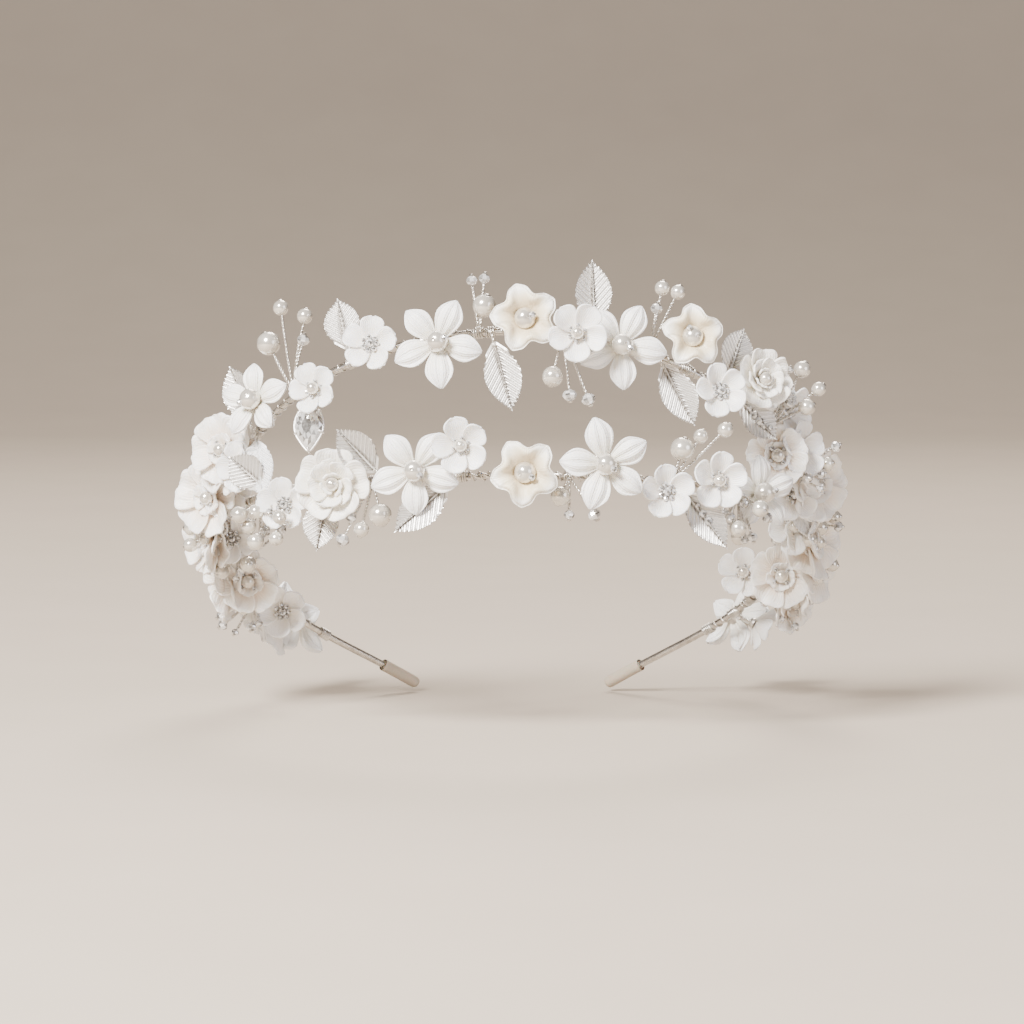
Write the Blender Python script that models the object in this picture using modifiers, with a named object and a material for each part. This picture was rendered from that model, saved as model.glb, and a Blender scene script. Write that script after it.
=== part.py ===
"""Bridal flower crown: two rows of blossoms wired to a sprung double headband.

The frame is one tilted hoop, whose arms go down and back to two bare tips, and a lower
front arch whose ends are bound to those arms.  Every flower, leaf and beaded sprig is a
piece of its own: its stem ends in a ring that is threaded on the wire.

Axes: +X is the wearer's left, -Y is the way the wearer faces and +Z is up.  The origin is
halfway between the temples, where the hoop is widest.  The crown is split at its middle,
x = 0, because the hoop springs open there to go over the head.  In the pieces' names,
left and right are as seen from in front, so left is -X.
"""

import math
from collections import namedtuple

import bmesh
import bpy
from mathutils import Matrix, Vector

MM = 0.001

# The hoop: its arch in front of the temples, and the arms behind them
HOOP_HALF_WIDTH = 70.0 * MM
CROWN_HEIGHT = 67.0 * MM
HOOP_TILT = math.radians(45)
ARM_REACH = 70.0 * MM
ARM_STRAIGHT = 40.0 * MM
TIP_HALF_GAP = 26.0 * MM
TIP_ANGLE = math.radians(44)
TIP_RUN = 34.0 * MM

# The lower front arch
FRONT_HEIGHT = 55.0 * MM
FRONT_TILT = math.radians(14)
FRONT_LEAVES_AT = math.radians(82)
JOIN_PULL = 4.0 * MM

# Both wires
WIRE_RADIUS = 0.9 * MM
WIRE_STEP = 6.0 * MM
MIDDLE_GAP = 0.4 * MM
FIT_GAP = 0.3 * MM

# The ring that binds the front arch to an arm, measured from the temple
BIND_START = 4.0 * MM
BIND_LENGTH = 9.0 * MM
BIND_RING_LENGTH = 5.0 * MM
BIND_RING_WALL = 0.7 * MM

# Tip sleeves
SLEEVE_LENGTH = 11.0 * MM
SLEEVE_WALL = 0.35 * MM
SLEEVE_END = 0.8 * MM

# Trim
RING_WIRE = 0.55 * MM
STEM_RADIUS = 0.6 * MM
PETAL_THICKNESS = 0.7 * MM
PEARL_RADIUS = 2.7 * MM
SMALL_PEARL_RADIUS = 1.7 * MM
HEART_LIFT = 0.75
STALK = 2.5 * MM
BRANCH_RADIUS = 0.4 * MM
FORK_RADIUS = 0.8 * MM
LEAF_THICKNESS = 0.6 * MM
LEAF_HALF_WIDTH = 4.2 * MM
LEAF_START = 3.0 * MM
LEAF_GRIP = 2.0 * MM
LEAF_LIFT = 0.04
LEAF_FOLD = 0.2
CRYSTAL_LENGTH = 10.5 * MM
CRYSTAL_HALF_WIDTH = 3.6 * MM
CRYSTAL_THICKNESS = 3.2 * MM

# A flower's face: how many steps make a petal, how far the outline draws in between two
# petals and how sharply, how high the petals' ends stand and how their slope grows, the
# radius of what fills its heart, and its colour and roughness.
Bloom = namedtuple("Bloom", "steps notch notch_power lift lift_power heart colour rough")
BLOOMS = {
    "jasmine": Bloom(4, 0.66, 1.3, 0.12, 2.0, PEARL_RADIUS, (0.95, 0.94, 0.92), 0.45),
    "blossom": Bloom(4, 0.40, 3.0, 0.40, 2.0, SMALL_PEARL_RADIUS, (0.93, 0.91, 0.88), 0.40),
    "cup": Bloom(3, 0.18, 2.0, 0.70, 1.6, PEARL_RADIUS, (0.93, 0.88, 0.78), 0.45),
    "rose": Bloom(3, 0.12, 2.0, 0.55, 1.5, PEARL_RADIUS, (0.93, 0.89, 0.80), 0.50),
    "hydrangea": Bloom(3, 0.35, 4.0, 0.25, 2.0, SMALL_PEARL_RADIUS, (0.92, 0.87, 0.83), 0.50),
}

# A piece's ring is threaded on a wire at a station, + on the right and - on the left.
# On "hoop" and "front" the station is measured along the wire from the crown's middle, on
# "arm" from the temple towards the tip, and on "brow" from the temple back to the middle.
# turn_out is 0 where the piece faces straight ahead, 1 where it faces square off the hoop
# and -1 where it faces the head.  Rise lifts a flower and out carries it off the wire.
# All lengths in the tables are millimetres, and all angles are degrees.
Flower = namedtuple("Flower", "name wire station rise out turn_out kind radius spin")
FLOWERS = [
    Flower("upper_hydrangea_left", "hoop", -87, 0, 4.5, 0.65, "hydrangea", 9.5, 20),
    Flower("upper_jasmine_1", "hoop", -71, 4, 6, 0.5, "jasmine", 9.5, 10),
    Flower("upper_blossom_1", "hoop", -49.5, -4, 5, 0.4, "blossom", 6.0, 30),
    Flower("upper_blossom_2", "hoop", -34, 1, 5, 0.4, "blossom", 6.5, 0),
    Flower("upper_jasmine_2", "hoop", -17.5, -2, 5, 0.25, "jasmine", 11.0, -27),
    Flower("upper_cup_1", "hoop", 3, 2.5, 4, 0.2, "cup", 8.0, 15),
    Flower("upper_blossom_3", "hoop", 15, -0.5, 10, 0.2, "blossom", 7.0, 40),
    Flower("upper_jasmine_3", "hoop", 26, -1, 5, 0.25, "jasmine", 10.8, -30),
    Flower("upper_cup_2", "hoop", 44.5, 6.5, 5, 0.35, "cup", 7.6, 0),
    Flower("upper_blossom_4", "hoop", 51, -4.5, 8.5, 0.4, "blossom", 6.5, 20),
    Flower("upper_rose", "hoop", 66.5, 6, 7.5, 0.5, "rose", 7.0, 0),
    Flower("upper_blossom_5", "hoop", 83, 9, 5, 0.7, "blossom", 7.0, 10),
    Flower("upper_hydrangea_right", "brow", 9, 3, 5, 0.7, "hydrangea", 9.5, 0),
    Flower("front_blossom_1", "front", -58.5, -3.5, 5, 0.4, "blossom", 6.5, 10),
    Flower("front_rose", "front", -43.5, 0, 7, 0.3, "rose", 8.0, 0),
    Flower("front_jasmine_1", "front", -23, 2, 6, 0.2, "jasmine", 11.0, -33),
    Flower("front_blossom_2", "front", -12, 7.5, 5.5, 0.2, "blossom", 6.7, 20),
    Flower("front_cup", "front", 3, 1, 4, 0.2, "cup", 8.0, 30),
    Flower("front_jasmine_2", "front", 22, 3.5, 6.5, 0.2, "jasmine", 11.3, 14),
    Flower("front_blossom_3", "front", 37, -2.5, 5, 0.4, "blossom", 6.5, 10),
    Flower("front_blossom_4", "front", 51, 1.5, 7, 0.4, "blossom", 7.0, 0),
    Flower("front_jasmine_3", "front", 65, 0, 6, 0.5, "jasmine", 9.5, 0),
    Flower("side_hydrangea_left_1", "brow", -3.6, -9, 5, 0.8, "hydrangea", 9.0, 0),
    Flower("side_hydrangea_left_2", "arm", -21.5, -4, 6, 0.9, "hydrangea", 9.0, 15),
    Flower("side_blossom_left", "arm", -38, 1, 6, 0.9, "blossom", 6.5, 0),
    Flower("side_jasmine_left", "arm", -55.5, 8, 6, 1.0, "jasmine", 11.0, 10),
    Flower("side_hydrangea_right_1", "brow", 3.6, -10, 5, 0.8, "hydrangea", 9.0, 10),
    Flower("side_hydrangea_right_2", "arm", 19.5, -5, 6, 0.9, "hydrangea", 8.5, 0),
    Flower("side_blossom_right", "arm", 36.5, 7, 8.5, -0.25, "blossom", 6.5, 0),
    Flower("side_jasmine_right", "arm", 52.5, 7, 6, 1.0, "jasmine", 11.0, 0),
]

# Aim is the way a leaf points, square to the way it faces: 0 is to its right, 90 is up.
Leaf = namedtuple("Leaf", "name wire station turn_out length aim")
LEAVES = [
    Leaf("upper_leaf_1", "hoop", -76, 0.5, 17, 117),
    Leaf("upper_leaf_2", "hoop", -40.5, 0.4, 15, 105),
    Leaf("upper_crystal_leaf", "hoop", -53, 0.4, 16.5, -85),
    Leaf("upper_leaf_3", "hoop", -5, 0.2, 19, -75),
    Leaf("upper_leaf_4", "hoop", 20, 0.2, 18, 92),
    Leaf("upper_leaf_5", "hoop", 36, 0.3, 18.5, -65),
    Leaf("upper_leaf_6", "hoop", 56, 0.5, 16, 62),
    Leaf("upper_leaf_7", "hoop", 58.5, 0.5, 15.5, -50),
    Leaf("front_leaf_1", "front", -31, 0.2, 16, 133),
    Leaf("front_leaf_2", "front", -13.2, 0.2, 19, -138),
    Leaf("front_leaf_3", "front", -46.5, 0.3, 15.5, -98),
    Leaf("front_leaf_4", "front", 41, 0.4, 19, -55),
    Leaf("front_leaf_5", "front", -66, 0.35, 13.5, 140),
]

# A sprig's beads, each as right, up, out and radius from where its ring sits on the wire.
Sprig = namedtuple("Sprig", "name wire station turn_out beads")
SPRIGS = [
    Sprig("upper_sprig_1", "hoop", -58, 0.5,
          [(-5, 20, 3, 1.9), (2, 18, 3, 1.9), (-7, 11, 3, 2.9), (2.5, 12, 3, 1.6)]),
    Sprig("upper_sprig_2", "hoop", -8, 0.2,
          [(1.5, 6, 2, 2.8), (-1.5, 12, 2, 1.4), (1.5, 12.5, 2, 1.4)]),
    Sprig("upper_sprig_3", "hoop", 12, 0.2,
          [(-2.5, -10.5, 2, 2.5), (1.5, -15, 2, 1.7), (6, -16, 2, 1.7)]),
    Sprig("upper_sprig_4", "hoop", 33.5, 0.3,
          [(3.5, 15, 2, 1.8), (7.3, 14, 2, 1.8), (2, 10, 2, 1.5)]),
    Sprig("front_sprig_1", "front", -34, 0.2,
          [(2, -8, 2, 2.8), (-5, -8.5, 2, 1.5), (-2.5, -11.5, 2, 1.9), (-7, -14, 2, 1.7)]),
    Sprig("front_sprig_2", "front", 13.5, 0.2,
          [(-2, -4.5, 0.5, 2.4), (6, -9, 0, 1.6), (0, -9, 0, 1.3)]),
    Sprig("front_sprig_3", "front", 39.2, 0.3,
          [(2.5, 8, 2, 2.9), (7, 11, 2, 1.8), (13, 12.5, 2, 1.9)]),
    Sprig("front_sprig_4", "front", 55, 0.4,
          [(0, -6, 0, 1.3), (3, -8.5, -3, 1.3), (-1, -10, -1, 1.4), (5, -12, -4, 2.0)]),
    Sprig("side_sprig_left", "arm", -16.5, -1.0,
          [(-2, 10, 4, 1.8), (0, 5, 8, 1.6), (3, 9, 6, 1.8), (4, 5, 3, 1.6)]),
]


# ---------------------------------------------------------------- scene and small helpers

def start_empty():
    """Remove what the file holds, and make the crown's collection."""
    for thing in list(bpy.data.objects):
        bpy.data.objects.remove(thing, do_unlink=True)
    crown = bpy.data.collections.new("flower_crown")
    bpy.context.scene.collection.children.link(crown)
    return crown


CROWN = start_empty()


def material(name, colour, roughness, metallic=0.0):
    made = bpy.data.materials.new(name)
    made.use_nodes = True
    shader = made.node_tree.nodes["Principled BSDF"]
    shader.inputs["Base Color"].default_value = (*colour, 1.0)
    shader.inputs["Roughness"].default_value = roughness
    shader.inputs["Metallic"].default_value = metallic
    return made


def object_from(name, data, place=None):
    made = bpy.data.objects.new(name, data)
    if place is not None:
        made.matrix_world = place
    CROWN.objects.link(made)
    return made


def object_from_bmesh(name, shape, place=None):
    mesh = bpy.data.meshes.new(name)
    shape.to_mesh(mesh)
    shape.free()
    return object_from(name, mesh, place)


def as_mesh(thing):
    """Swap an object for its evaluated mesh, with the loose caps of a curve welded."""
    bpy.context.view_layer.update()
    evaluated = thing.evaluated_get(bpy.context.evaluated_depsgraph_get())
    mesh = bpy.data.meshes.new_from_object(evaluated)
    if thing.type == 'CURVE':
        shape = bmesh.new()
        shape.from_mesh(mesh)
        bmesh.ops.remove_doubles(shape, verts=shape.verts, dist=0.01 * MM)
        shape.to_mesh(mesh)
        shape.free()
    name = thing.name
    place = thing.matrix_world.copy()
    bpy.data.objects.remove(thing, do_unlink=True)
    return object_from(name, mesh, place)


def fuse(base, pieces):
    """Unite the pieces with the base into one closed body."""
    for piece in pieces:
        union = base.modifiers.new("union", 'BOOLEAN')
        union.operation = 'UNION'
        union.solver = 'EXACT'
        union.object = piece
    fused = as_mesh(base)
    for piece in pieces:
        bpy.data.objects.remove(piece, do_unlink=True)
    return fused


def thicken(sheet, thickness):
    """Give an open sheet its thickness, behind it."""
    shell = sheet.modifiers.new("thickness", 'SOLIDIFY')
    shell.thickness = thickness
    shell.offset = -1.0
    return as_mesh(sheet)


def finish(thing, look):
    thing.data.materials.clear()
    thing.data.materials.append(look)
    thing.data.shade_smooth()
    thing.data.set_sharp_from_angle(angle=math.radians(40))
    return thing


def basis(across, up, facing, origin):
    """The matrix whose x, y and z axes are the three directions."""
    turned = Matrix((across, up, facing)).transposed().to_4x4()
    return Matrix.Translation(origin) @ turned


def turned_to(direction):
    """The turn that brings the z axis to the direction."""
    return Vector((0, 0, 1)).rotation_difference(direction).to_matrix().to_4x4()


def poly_spline(curve, points, closed=False):
    line = curve.splines.new('POLY')
    line.points.add(len(points) - 1)
    line.use_cyclic_u = closed
    for spot, point in zip(line.points, points):
        spot.co = (*point, 1.0)


# ---------------------------------------------------------------- the wires' routes

def tilted(tilt, across, forward, side):
    """A point of a plane that holds the X axis and leans up from straight ahead by tilt."""
    return Vector((side * across, -forward * math.cos(tilt), forward * math.sin(tilt)))


def bezier(ends, count):
    """Points along a cubic curve, without its first point."""
    a, b, c, d = ends
    points = []
    for step in range(1, count + 1):
        t = step / count
        s = 1.0 - t
        points.append(a * s ** 3 + b * 3 * s * s * t + c * 3 * s * t * t + d * t ** 3)
    return points


class Route:
    """A polyline that is read by its length from the crown's middle."""

    def __init__(self, points):
        self.points = points
        self.lengths = [0.0]
        for before, after in zip(points, points[1:]):
            self.lengths.append(self.lengths[-1] + (after - before).length)
        self.total = self.lengths[-1]

    def at(self, length):
        length = min(max(length, 0.0), self.total)
        index = 1
        while self.lengths[index] < length:
            index += 1
        start = self.lengths[index - 1]
        share = (length - start) / (self.lengths[index] - start)
        return self.points[index - 1].lerp(self.points[index], share)

    def along(self, length):
        step = 0.5 * MM
        return (self.at(length + step) - self.at(length - step)).normalized()

    def stretch(self, spacing):
        count = round(self.total / spacing)
        return [self.at(self.total * step / count) for step in range(count + 1)]


def quarter_arch(half_width, height, tilt, side, last_angle):
    """The arch's points from its top middle outwards, by angle from the middle."""
    points = []
    count = 90
    for step in range(count + 1):
        angle = last_angle * step / count
        across = half_width * math.sin(angle)
        points.append(tilted(tilt, across, height * math.cos(angle), side))
    return points


def hoop_route(side):
    """From the top middle to the temple and down the arm to its tip, and the temple's length."""
    arch = quarter_arch(HOOP_HALF_WIDTH, CROWN_HEIGHT, HOOP_TILT, side, math.pi / 2)
    pull_across = TIP_HALF_GAP + TIP_RUN * math.cos(TIP_ANGLE)
    pull_back = ARM_REACH - TIP_RUN * math.sin(TIP_ANGLE)
    arm = bezier([
        tilted(HOOP_TILT, HOOP_HALF_WIDTH, 0.0, side),
        tilted(HOOP_TILT, HOOP_HALF_WIDTH, -ARM_STRAIGHT, side),
        tilted(HOOP_TILT, pull_across, -pull_back, side),
        tilted(HOOP_TILT, TIP_HALF_GAP, -ARM_REACH, side),
    ], 80)
    return Route(arch + arm), Route(arch).total


def outward(along, tilt, side):
    """Square off the wire, in the plane of its arch and away from the head."""
    rise = Vector((0.0, math.sin(tilt), math.cos(tilt)))
    return (along.cross(rise) * side).normalized()


def front_route(side, hoop, temple):
    """From the top middle round to the arm, and along its inner side for the binding."""
    apart = 2 * WIRE_RADIUS + FIT_GAP
    arch = quarter_arch(HOOP_HALF_WIDTH - apart, FRONT_HEIGHT, FRONT_TILT, side, FRONT_LEAVES_AT)
    leave = (arch[-1] - arch[-2]).normalized()

    def beside(length):
        return hoop.at(length) - outward(hoop.along(length), HOOP_TILT, side) * apart

    start = temple + BIND_START
    meet = beside(start)
    follow = hoop.along(start)
    join = bezier([arch[-1], arch[-1] + leave * JOIN_PULL, meet - follow * JOIN_PULL, meet], 16)
    bound = [beside(start + BIND_LENGTH * step / 10) for step in range(1, 11)]
    return Route(arch + join + bound)


# ---------------------------------------------------------------- frame pieces

def half_wire(name, route, side, look):
    """A wire from just beside the middle to its end."""
    points = route.stretch(WIRE_STEP)
    points[0].x = side * MIDDLE_GAP / 2
    curve = bpy.data.curves.new(name, 'CURVE')
    curve.dimensions = '3D'
    curve.bevel_depth = WIRE_RADIUS
    curve.bevel_resolution = 2
    curve.render_resolution_u = 0
    curve.use_fill_caps = True
    poly_spline(curve, points)
    return finish(as_mesh(object_from(name, curve)), look)


def obround(width, radius):
    """The flat outline of two half circles joined by straight sides."""
    points = []
    for end in (1, -1):
        for step in range(7):
            angle = math.radians(-90 * end + 30 * step)
            across = end * width / 2 + radius * math.cos(angle)
            points.append((across, radius * math.sin(angle), 0.0))
    return points


def binding(name, hoop, temple, side, look):
    """The flat ring that holds the front arch's end against the arm."""
    middle = temple + BIND_START + BIND_LENGTH / 2
    along = hoop.along(middle)
    across = outward(along, HOOP_TILT, side)
    apart = 2 * WIRE_RADIUS + FIT_GAP
    inner = WIRE_RADIUS + FIT_GAP
    curve = bpy.data.curves.new(name, 'CURVE')
    curve.dimensions = '2D'
    curve.fill_mode = 'BOTH'
    curve.extrude = BIND_RING_LENGTH / 2
    poly_spline(curve, obround(apart, inner + BIND_RING_WALL), closed=True)
    poly_spline(curve, obround(apart, inner), closed=True)
    centre = hoop.at(middle) - across * apart / 2
    place = basis(across, along.cross(across), along, centre)
    return finish(as_mesh(object_from(name, curve, place)), look)


def sleeve(name, hoop, look):
    """The cup that caps a bare tip."""
    tip = hoop.at(hoop.total)
    mouth = hoop.at(hoop.total - SLEEVE_LENGTH)
    axis = (tip - mouth).normalized()
    inner = WIRE_RADIUS + FIT_GAP
    outer = inner + SLEEVE_WALL
    floor = SLEEVE_LENGTH + FIT_GAP
    top = floor + SLEEVE_END
    crown_radius = outer * 0.6
    shoulder = top - outer * 0.4
    profile = [(0, top), (crown_radius, top), (outer, shoulder), (outer, 0.0),
               (inner, 0.0), (inner, floor), (0, floor)]
    shape = bmesh.new()
    spots = [shape.verts.new((x, 0.0, z)) for x, z in profile]
    for before, after in zip(spots, spots[1:]):
        shape.edges.new((before, after))
    across = axis.orthogonal().normalized()
    made = object_from_bmesh(name, shape, basis(across, axis.cross(across), axis, mouth))
    turn = made.modifiers.new("turn", 'SCREW')
    turn.steps = 12
    turn.render_steps = 12
    turn.use_merge_vertices = True
    turn.merge_threshold = 0.01 * MM
    return finish(as_mesh(made), look)


# ---------------------------------------------------------------- trim pieces

def threaded(piece):
    """Where a trim piece is threaded on its wire, the wire's direction there, and the
    matrix whose z axis is the way the piece faces and whose y axis is the nearest to up."""
    side = math.copysign(1.0, piece.station)
    length = abs(piece.station) * MM
    route = HOOPS[side]
    tilt = HOOP_TILT
    if piece.wire == "front":
        route = FRONTS[side]
        tilt = FRONT_TILT
    elif piece.wire == "arm":
        length = TEMPLE + length
    elif piece.wire == "brow":
        length = TEMPLE - length
    point = route.at(length)
    along = route.along(length)
    ahead = Vector((0, -1, 0)) * (1 - abs(piece.turn_out))
    facing = (outward(along, tilt, side) * piece.turn_out + ahead).normalized()
    up = (Vector((0, 0, 1)) - facing * facing.z).normalized()
    return point, along, basis(up.cross(facing), up, facing, point)


def ball(name, radius, place):
    shape = bmesh.new()
    bmesh.ops.create_icosphere(shape, subdivisions=1, radius=radius)
    return object_from_bmesh(name, shape, Matrix.Translation(place))


def rod(name, start, end, radius, sides=5):
    """A round rod from one point to another."""
    axis = end - start
    shape = bmesh.new()
    bmesh.ops.create_cone(shape, cap_ends=True, segments=sides,
                          radius1=radius, radius2=radius, depth=axis.length)
    return object_from_bmesh(name, shape, Matrix.Translation((start + end) / 2) @ turned_to(axis))


def wire_ring(name, point, along):
    """The ring that threads a piece on its wire, with a small clearance."""
    bpy.ops.mesh.primitive_torus_add(major_segments=8, minor_segments=3,
                                     major_radius=RING_RADIUS, minor_radius=RING_WIRE)
    mesh = bpy.context.object.data
    bpy.data.objects.remove(bpy.context.object, do_unlink=True)
    return object_from(name, mesh, Matrix.Translation(point) @ turned_to(along))


RING_RADIUS = WIRE_RADIUS + FIT_GAP + RING_WIRE


def root(point, along, target, radius):
    """The rod from the ring's nearest side to the target."""
    reach = target - point
    reach -= along * reach.dot(along)
    return rod("root", point + reach.normalized() * RING_RADIUS, target, radius)


def petal_outline(bloom, radius, angle):
    """The face's reach from its heart, in a direction given in degrees from a petal's axis."""
    off_petal = abs((angle + 36) % 72 - 36) / 36
    return radius * (1 - bloom.notch * off_petal ** bloom.notch_power)


def petal_disc(name, bloom, radius, spin, place):
    """Five joined petals as one thin shaped dish, solid all through."""
    around = 5 * bloom.steps
    shape = bmesh.new()
    heart = shape.verts.new((0, 0, 0))
    loops = []
    for share in (0.5, 1.0):
        loop = []
        for step in range(around):
            angle = 360 * step / around
            reach = share * petal_outline(bloom, radius, angle)
            height = bloom.lift * radius * (reach / radius) ** bloom.lift_power
            turn = math.radians(angle + 90 + spin)
            loop.append(shape.verts.new((reach * math.cos(turn), reach * math.sin(turn), height)))
        loops.append(loop)
    inner, outer = loops
    for step in range(around):
        after = (step + 1) % around
        shape.faces.new((heart, inner[step], inner[after]))
        shape.faces.new((inner[step], outer[step], outer[after], inner[after]))
    return thicken(object_from_bmesh(name, shape, place), PETAL_THICKNESS)


def flower(piece, look):
    point, along, place = threaded(piece)
    bloom = BLOOMS[piece.kind]
    face = place @ Matrix.Translation((0, piece.rise * MM, piece.out * MM))
    centre = face.translation
    petals = petal_disc(piece.name, bloom, piece.radius * MM, piece.spin, face)
    heart = ball("heart", bloom.heart, face @ Vector((0, 0, bloom.heart * HEART_LIFT)))
    stem = root(point, along, centre, STEM_RADIUS)
    ring = wire_ring("ring", point, along)
    return finish(fuse(petals, [heart, stem, ring]), look)


def blade(name, length, place):
    """A leaf along +x, folded a little along its midrib and lifted towards its tip."""
    shape = bmesh.new()
    rows = []
    steps = 4
    for step in range(steps + 1):
        share = step / steps
        width = LEAF_HALF_WIDTH * math.sin(math.pi * (0.06 + 0.90 * share)) ** 0.8
        x = LEAF_START + (length - LEAF_START) * share
        lift = LEAF_LIFT * x * share
        row = []
        for half in (-1, 0, 1):
            row.append(shape.verts.new((x, half * width, lift + abs(half) * width * LEAF_FOLD)))
        rows.append(row)
    for before, after in zip(rows, rows[1:]):
        for i in range(2):
            shape.faces.new((before[i], after[i], after[i + 1], before[i + 1]))
    return thicken(object_from_bmesh(name, shape, place), LEAF_THICKNESS)


def crystal_blade(name, length, place):
    """A boat-shaped cut crystal along +x, thinner towards its two points."""
    shape = bmesh.new()
    bmesh.ops.create_uvsphere(shape, u_segments=8, v_segments=6, radius=1.0)
    middle = length - CRYSTAL_LENGTH / 2
    for spot in shape.verts:
        x, y, z = spot.co
        narrow = 1.0 - 0.25 * abs(z)
        spot.co = (middle + z * CRYSTAL_LENGTH / 2, y * CRYSTAL_HALF_WIDTH * narrow,
                   x * CRYSTAL_THICKNESS / 2)
    bmesh.ops.recalc_face_normals(shape, faces=shape.faces)
    return object_from_bmesh(name, shape, place)


def leaf(piece, look):
    point, along, place = threaded(piece)
    base = place @ Matrix.Translation((0, 0, STALK)) @ Matrix.Rotation(
        math.radians(piece.aim), 4, 'Z')
    length = piece.length * MM
    if piece.name.endswith("crystal_leaf"):
        body = crystal_blade(piece.name, length, base)
        reach = length - CRYSTAL_LENGTH * 0.6
    else:
        body = blade(piece.name, length, base)
        reach = LEAF_START + LEAF_GRIP
    sunk = LEAF_LIFT * reach * reach / length - LEAF_THICKNESS * 0.4
    stalk = rod("stalk", base.translation, base @ Vector((reach, 0, sunk)), STEM_RADIUS)
    foot = root(point, along, base @ Vector((0, 0, STEM_RADIUS / 2)), STEM_RADIUS)
    ring = wire_ring("ring", point, along)
    return finish(fuse(body, [stalk, foot, ring]), look)


def sprig(piece, look):
    point, along, place = threaded(piece)
    fork = place @ Vector((0, 0, STALK))
    parts = [ball("fork", FORK_RADIUS, fork)]
    for right, up, out, radius in piece.beads:
        spot = place @ Vector((right * MM, up * MM, out * MM + STALK))
        parts.append(ball("bead", radius * MM, spot))
        parts.append(rod("branch", fork, spot, BRANCH_RADIUS, sides=3))
    parts.append(root(point, along, fork, STEM_RADIUS))
    return finish(fuse(wire_ring(piece.name, point, along), parts), look)


# ---------------------------------------------------------------- the crown

HOOPS = {}
FRONTS = {}
for SIDE in (-1.0, 1.0):
    HOOPS[SIDE], TEMPLE = hoop_route(SIDE)
    FRONTS[SIDE] = front_route(SIDE, HOOPS[SIDE], TEMPLE)


def build():
    silver = material("champagne_silver", (0.80, 0.76, 0.71), 0.25, 1.0)
    pale = material("pale_sleeve", (0.86, 0.84, 0.81), 0.35)
    leaf_silver = material("leaf_silver", (0.84, 0.83, 0.81), 0.30, 1.0)
    pearl = material("pearl", (0.93, 0.90, 0.86), 0.15)
    crystal = material("crystal", (0.90, 0.91, 0.92), 0.05)
    petals = {kind: material(kind, bloom.colour, bloom.rough) for kind, bloom in BLOOMS.items()}

    for side, word in ((-1.0, "left"), (1.0, "right")):
        half_wire("hoop_" + word, HOOPS[side], side, silver)
        half_wire("front_arch_" + word, FRONTS[side], side, silver)
        binding("arch_binding_" + word, HOOPS[side], TEMPLE, side, silver)
        sleeve("tip_sleeve_" + word, HOOPS[side], pale)
    for piece in FLOWERS:
        flower(piece, petals[piece.kind])
    for piece in LEAVES:
        leaf(piece, crystal if piece.name.endswith("crystal_leaf") else leaf_silver)
    for piece in SPRIGS:
        sprig(piece, pearl)


build()
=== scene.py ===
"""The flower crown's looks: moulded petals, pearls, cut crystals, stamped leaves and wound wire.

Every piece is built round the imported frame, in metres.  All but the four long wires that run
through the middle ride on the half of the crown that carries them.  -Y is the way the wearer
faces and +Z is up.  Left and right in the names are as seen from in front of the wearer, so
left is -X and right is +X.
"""
import math
import random
from collections import namedtuple

import bmesh
import bpy
from mathutils import Matrix, Vector


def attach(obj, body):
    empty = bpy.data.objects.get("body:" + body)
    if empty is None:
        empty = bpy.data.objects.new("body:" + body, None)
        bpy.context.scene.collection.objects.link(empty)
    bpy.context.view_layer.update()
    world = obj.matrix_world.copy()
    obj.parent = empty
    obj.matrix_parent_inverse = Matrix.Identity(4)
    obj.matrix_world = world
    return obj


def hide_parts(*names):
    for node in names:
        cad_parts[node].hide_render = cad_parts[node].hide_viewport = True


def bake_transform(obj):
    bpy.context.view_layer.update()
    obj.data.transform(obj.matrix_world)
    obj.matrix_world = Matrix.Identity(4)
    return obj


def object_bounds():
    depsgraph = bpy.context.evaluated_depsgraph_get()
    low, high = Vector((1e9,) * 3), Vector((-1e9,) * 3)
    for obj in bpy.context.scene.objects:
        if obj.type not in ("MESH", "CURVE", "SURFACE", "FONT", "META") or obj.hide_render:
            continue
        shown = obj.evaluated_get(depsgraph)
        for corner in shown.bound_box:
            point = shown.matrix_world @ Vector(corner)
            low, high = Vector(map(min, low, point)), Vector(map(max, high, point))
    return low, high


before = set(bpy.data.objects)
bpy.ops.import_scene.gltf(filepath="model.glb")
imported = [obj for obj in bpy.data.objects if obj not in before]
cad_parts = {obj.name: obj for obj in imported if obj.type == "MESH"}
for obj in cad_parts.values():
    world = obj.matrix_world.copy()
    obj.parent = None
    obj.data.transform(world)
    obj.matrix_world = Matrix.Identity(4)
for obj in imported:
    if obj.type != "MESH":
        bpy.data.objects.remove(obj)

cad_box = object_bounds()

MM = 0.001
LEFT = "left_half"
RIGHT = "right_half"

# The frame's sizes, as the CAD has them
HOOP_HALF_WIDTH = 70.0 * MM
CROWN_HEIGHT = 67.0 * MM
HOOP_TILT = math.radians(45)
ARM_REACH = 70.0 * MM
ARM_STRAIGHT = 40.0 * MM
TIP_HALF_GAP = 26.0 * MM
TIP_ANGLE = math.radians(44)
TIP_RUN = 34.0 * MM
FRONT_HEIGHT = 55.0 * MM
FRONT_TILT = math.radians(14)
FRONT_LEAVES_AT = math.radians(82)
JOIN_PULL = 4.0 * MM
WIRE_RADIUS = 0.9 * MM
FIT_GAP = 0.3 * MM
BIND_START = 4.0 * MM
BIND_LENGTH = 9.0 * MM
BIND_RING_LENGTH = 5.0 * MM
SLEEVE_LENGTH = 11.0 * MM
SLEEVE_WALL = 0.35 * MM
SLEEVE_END = 0.8 * MM
STALK = 2.5 * MM
LEAF_START = 3.0 * MM
LEAF_HALF_WIDTH = 4.2 * MM
CRYSTAL_LENGTH = 10.5 * MM
CRYSTAL_HALF_WIDTH = 3.6 * MM
CRYSTAL_THICKNESS = 3.2 * MM

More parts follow.
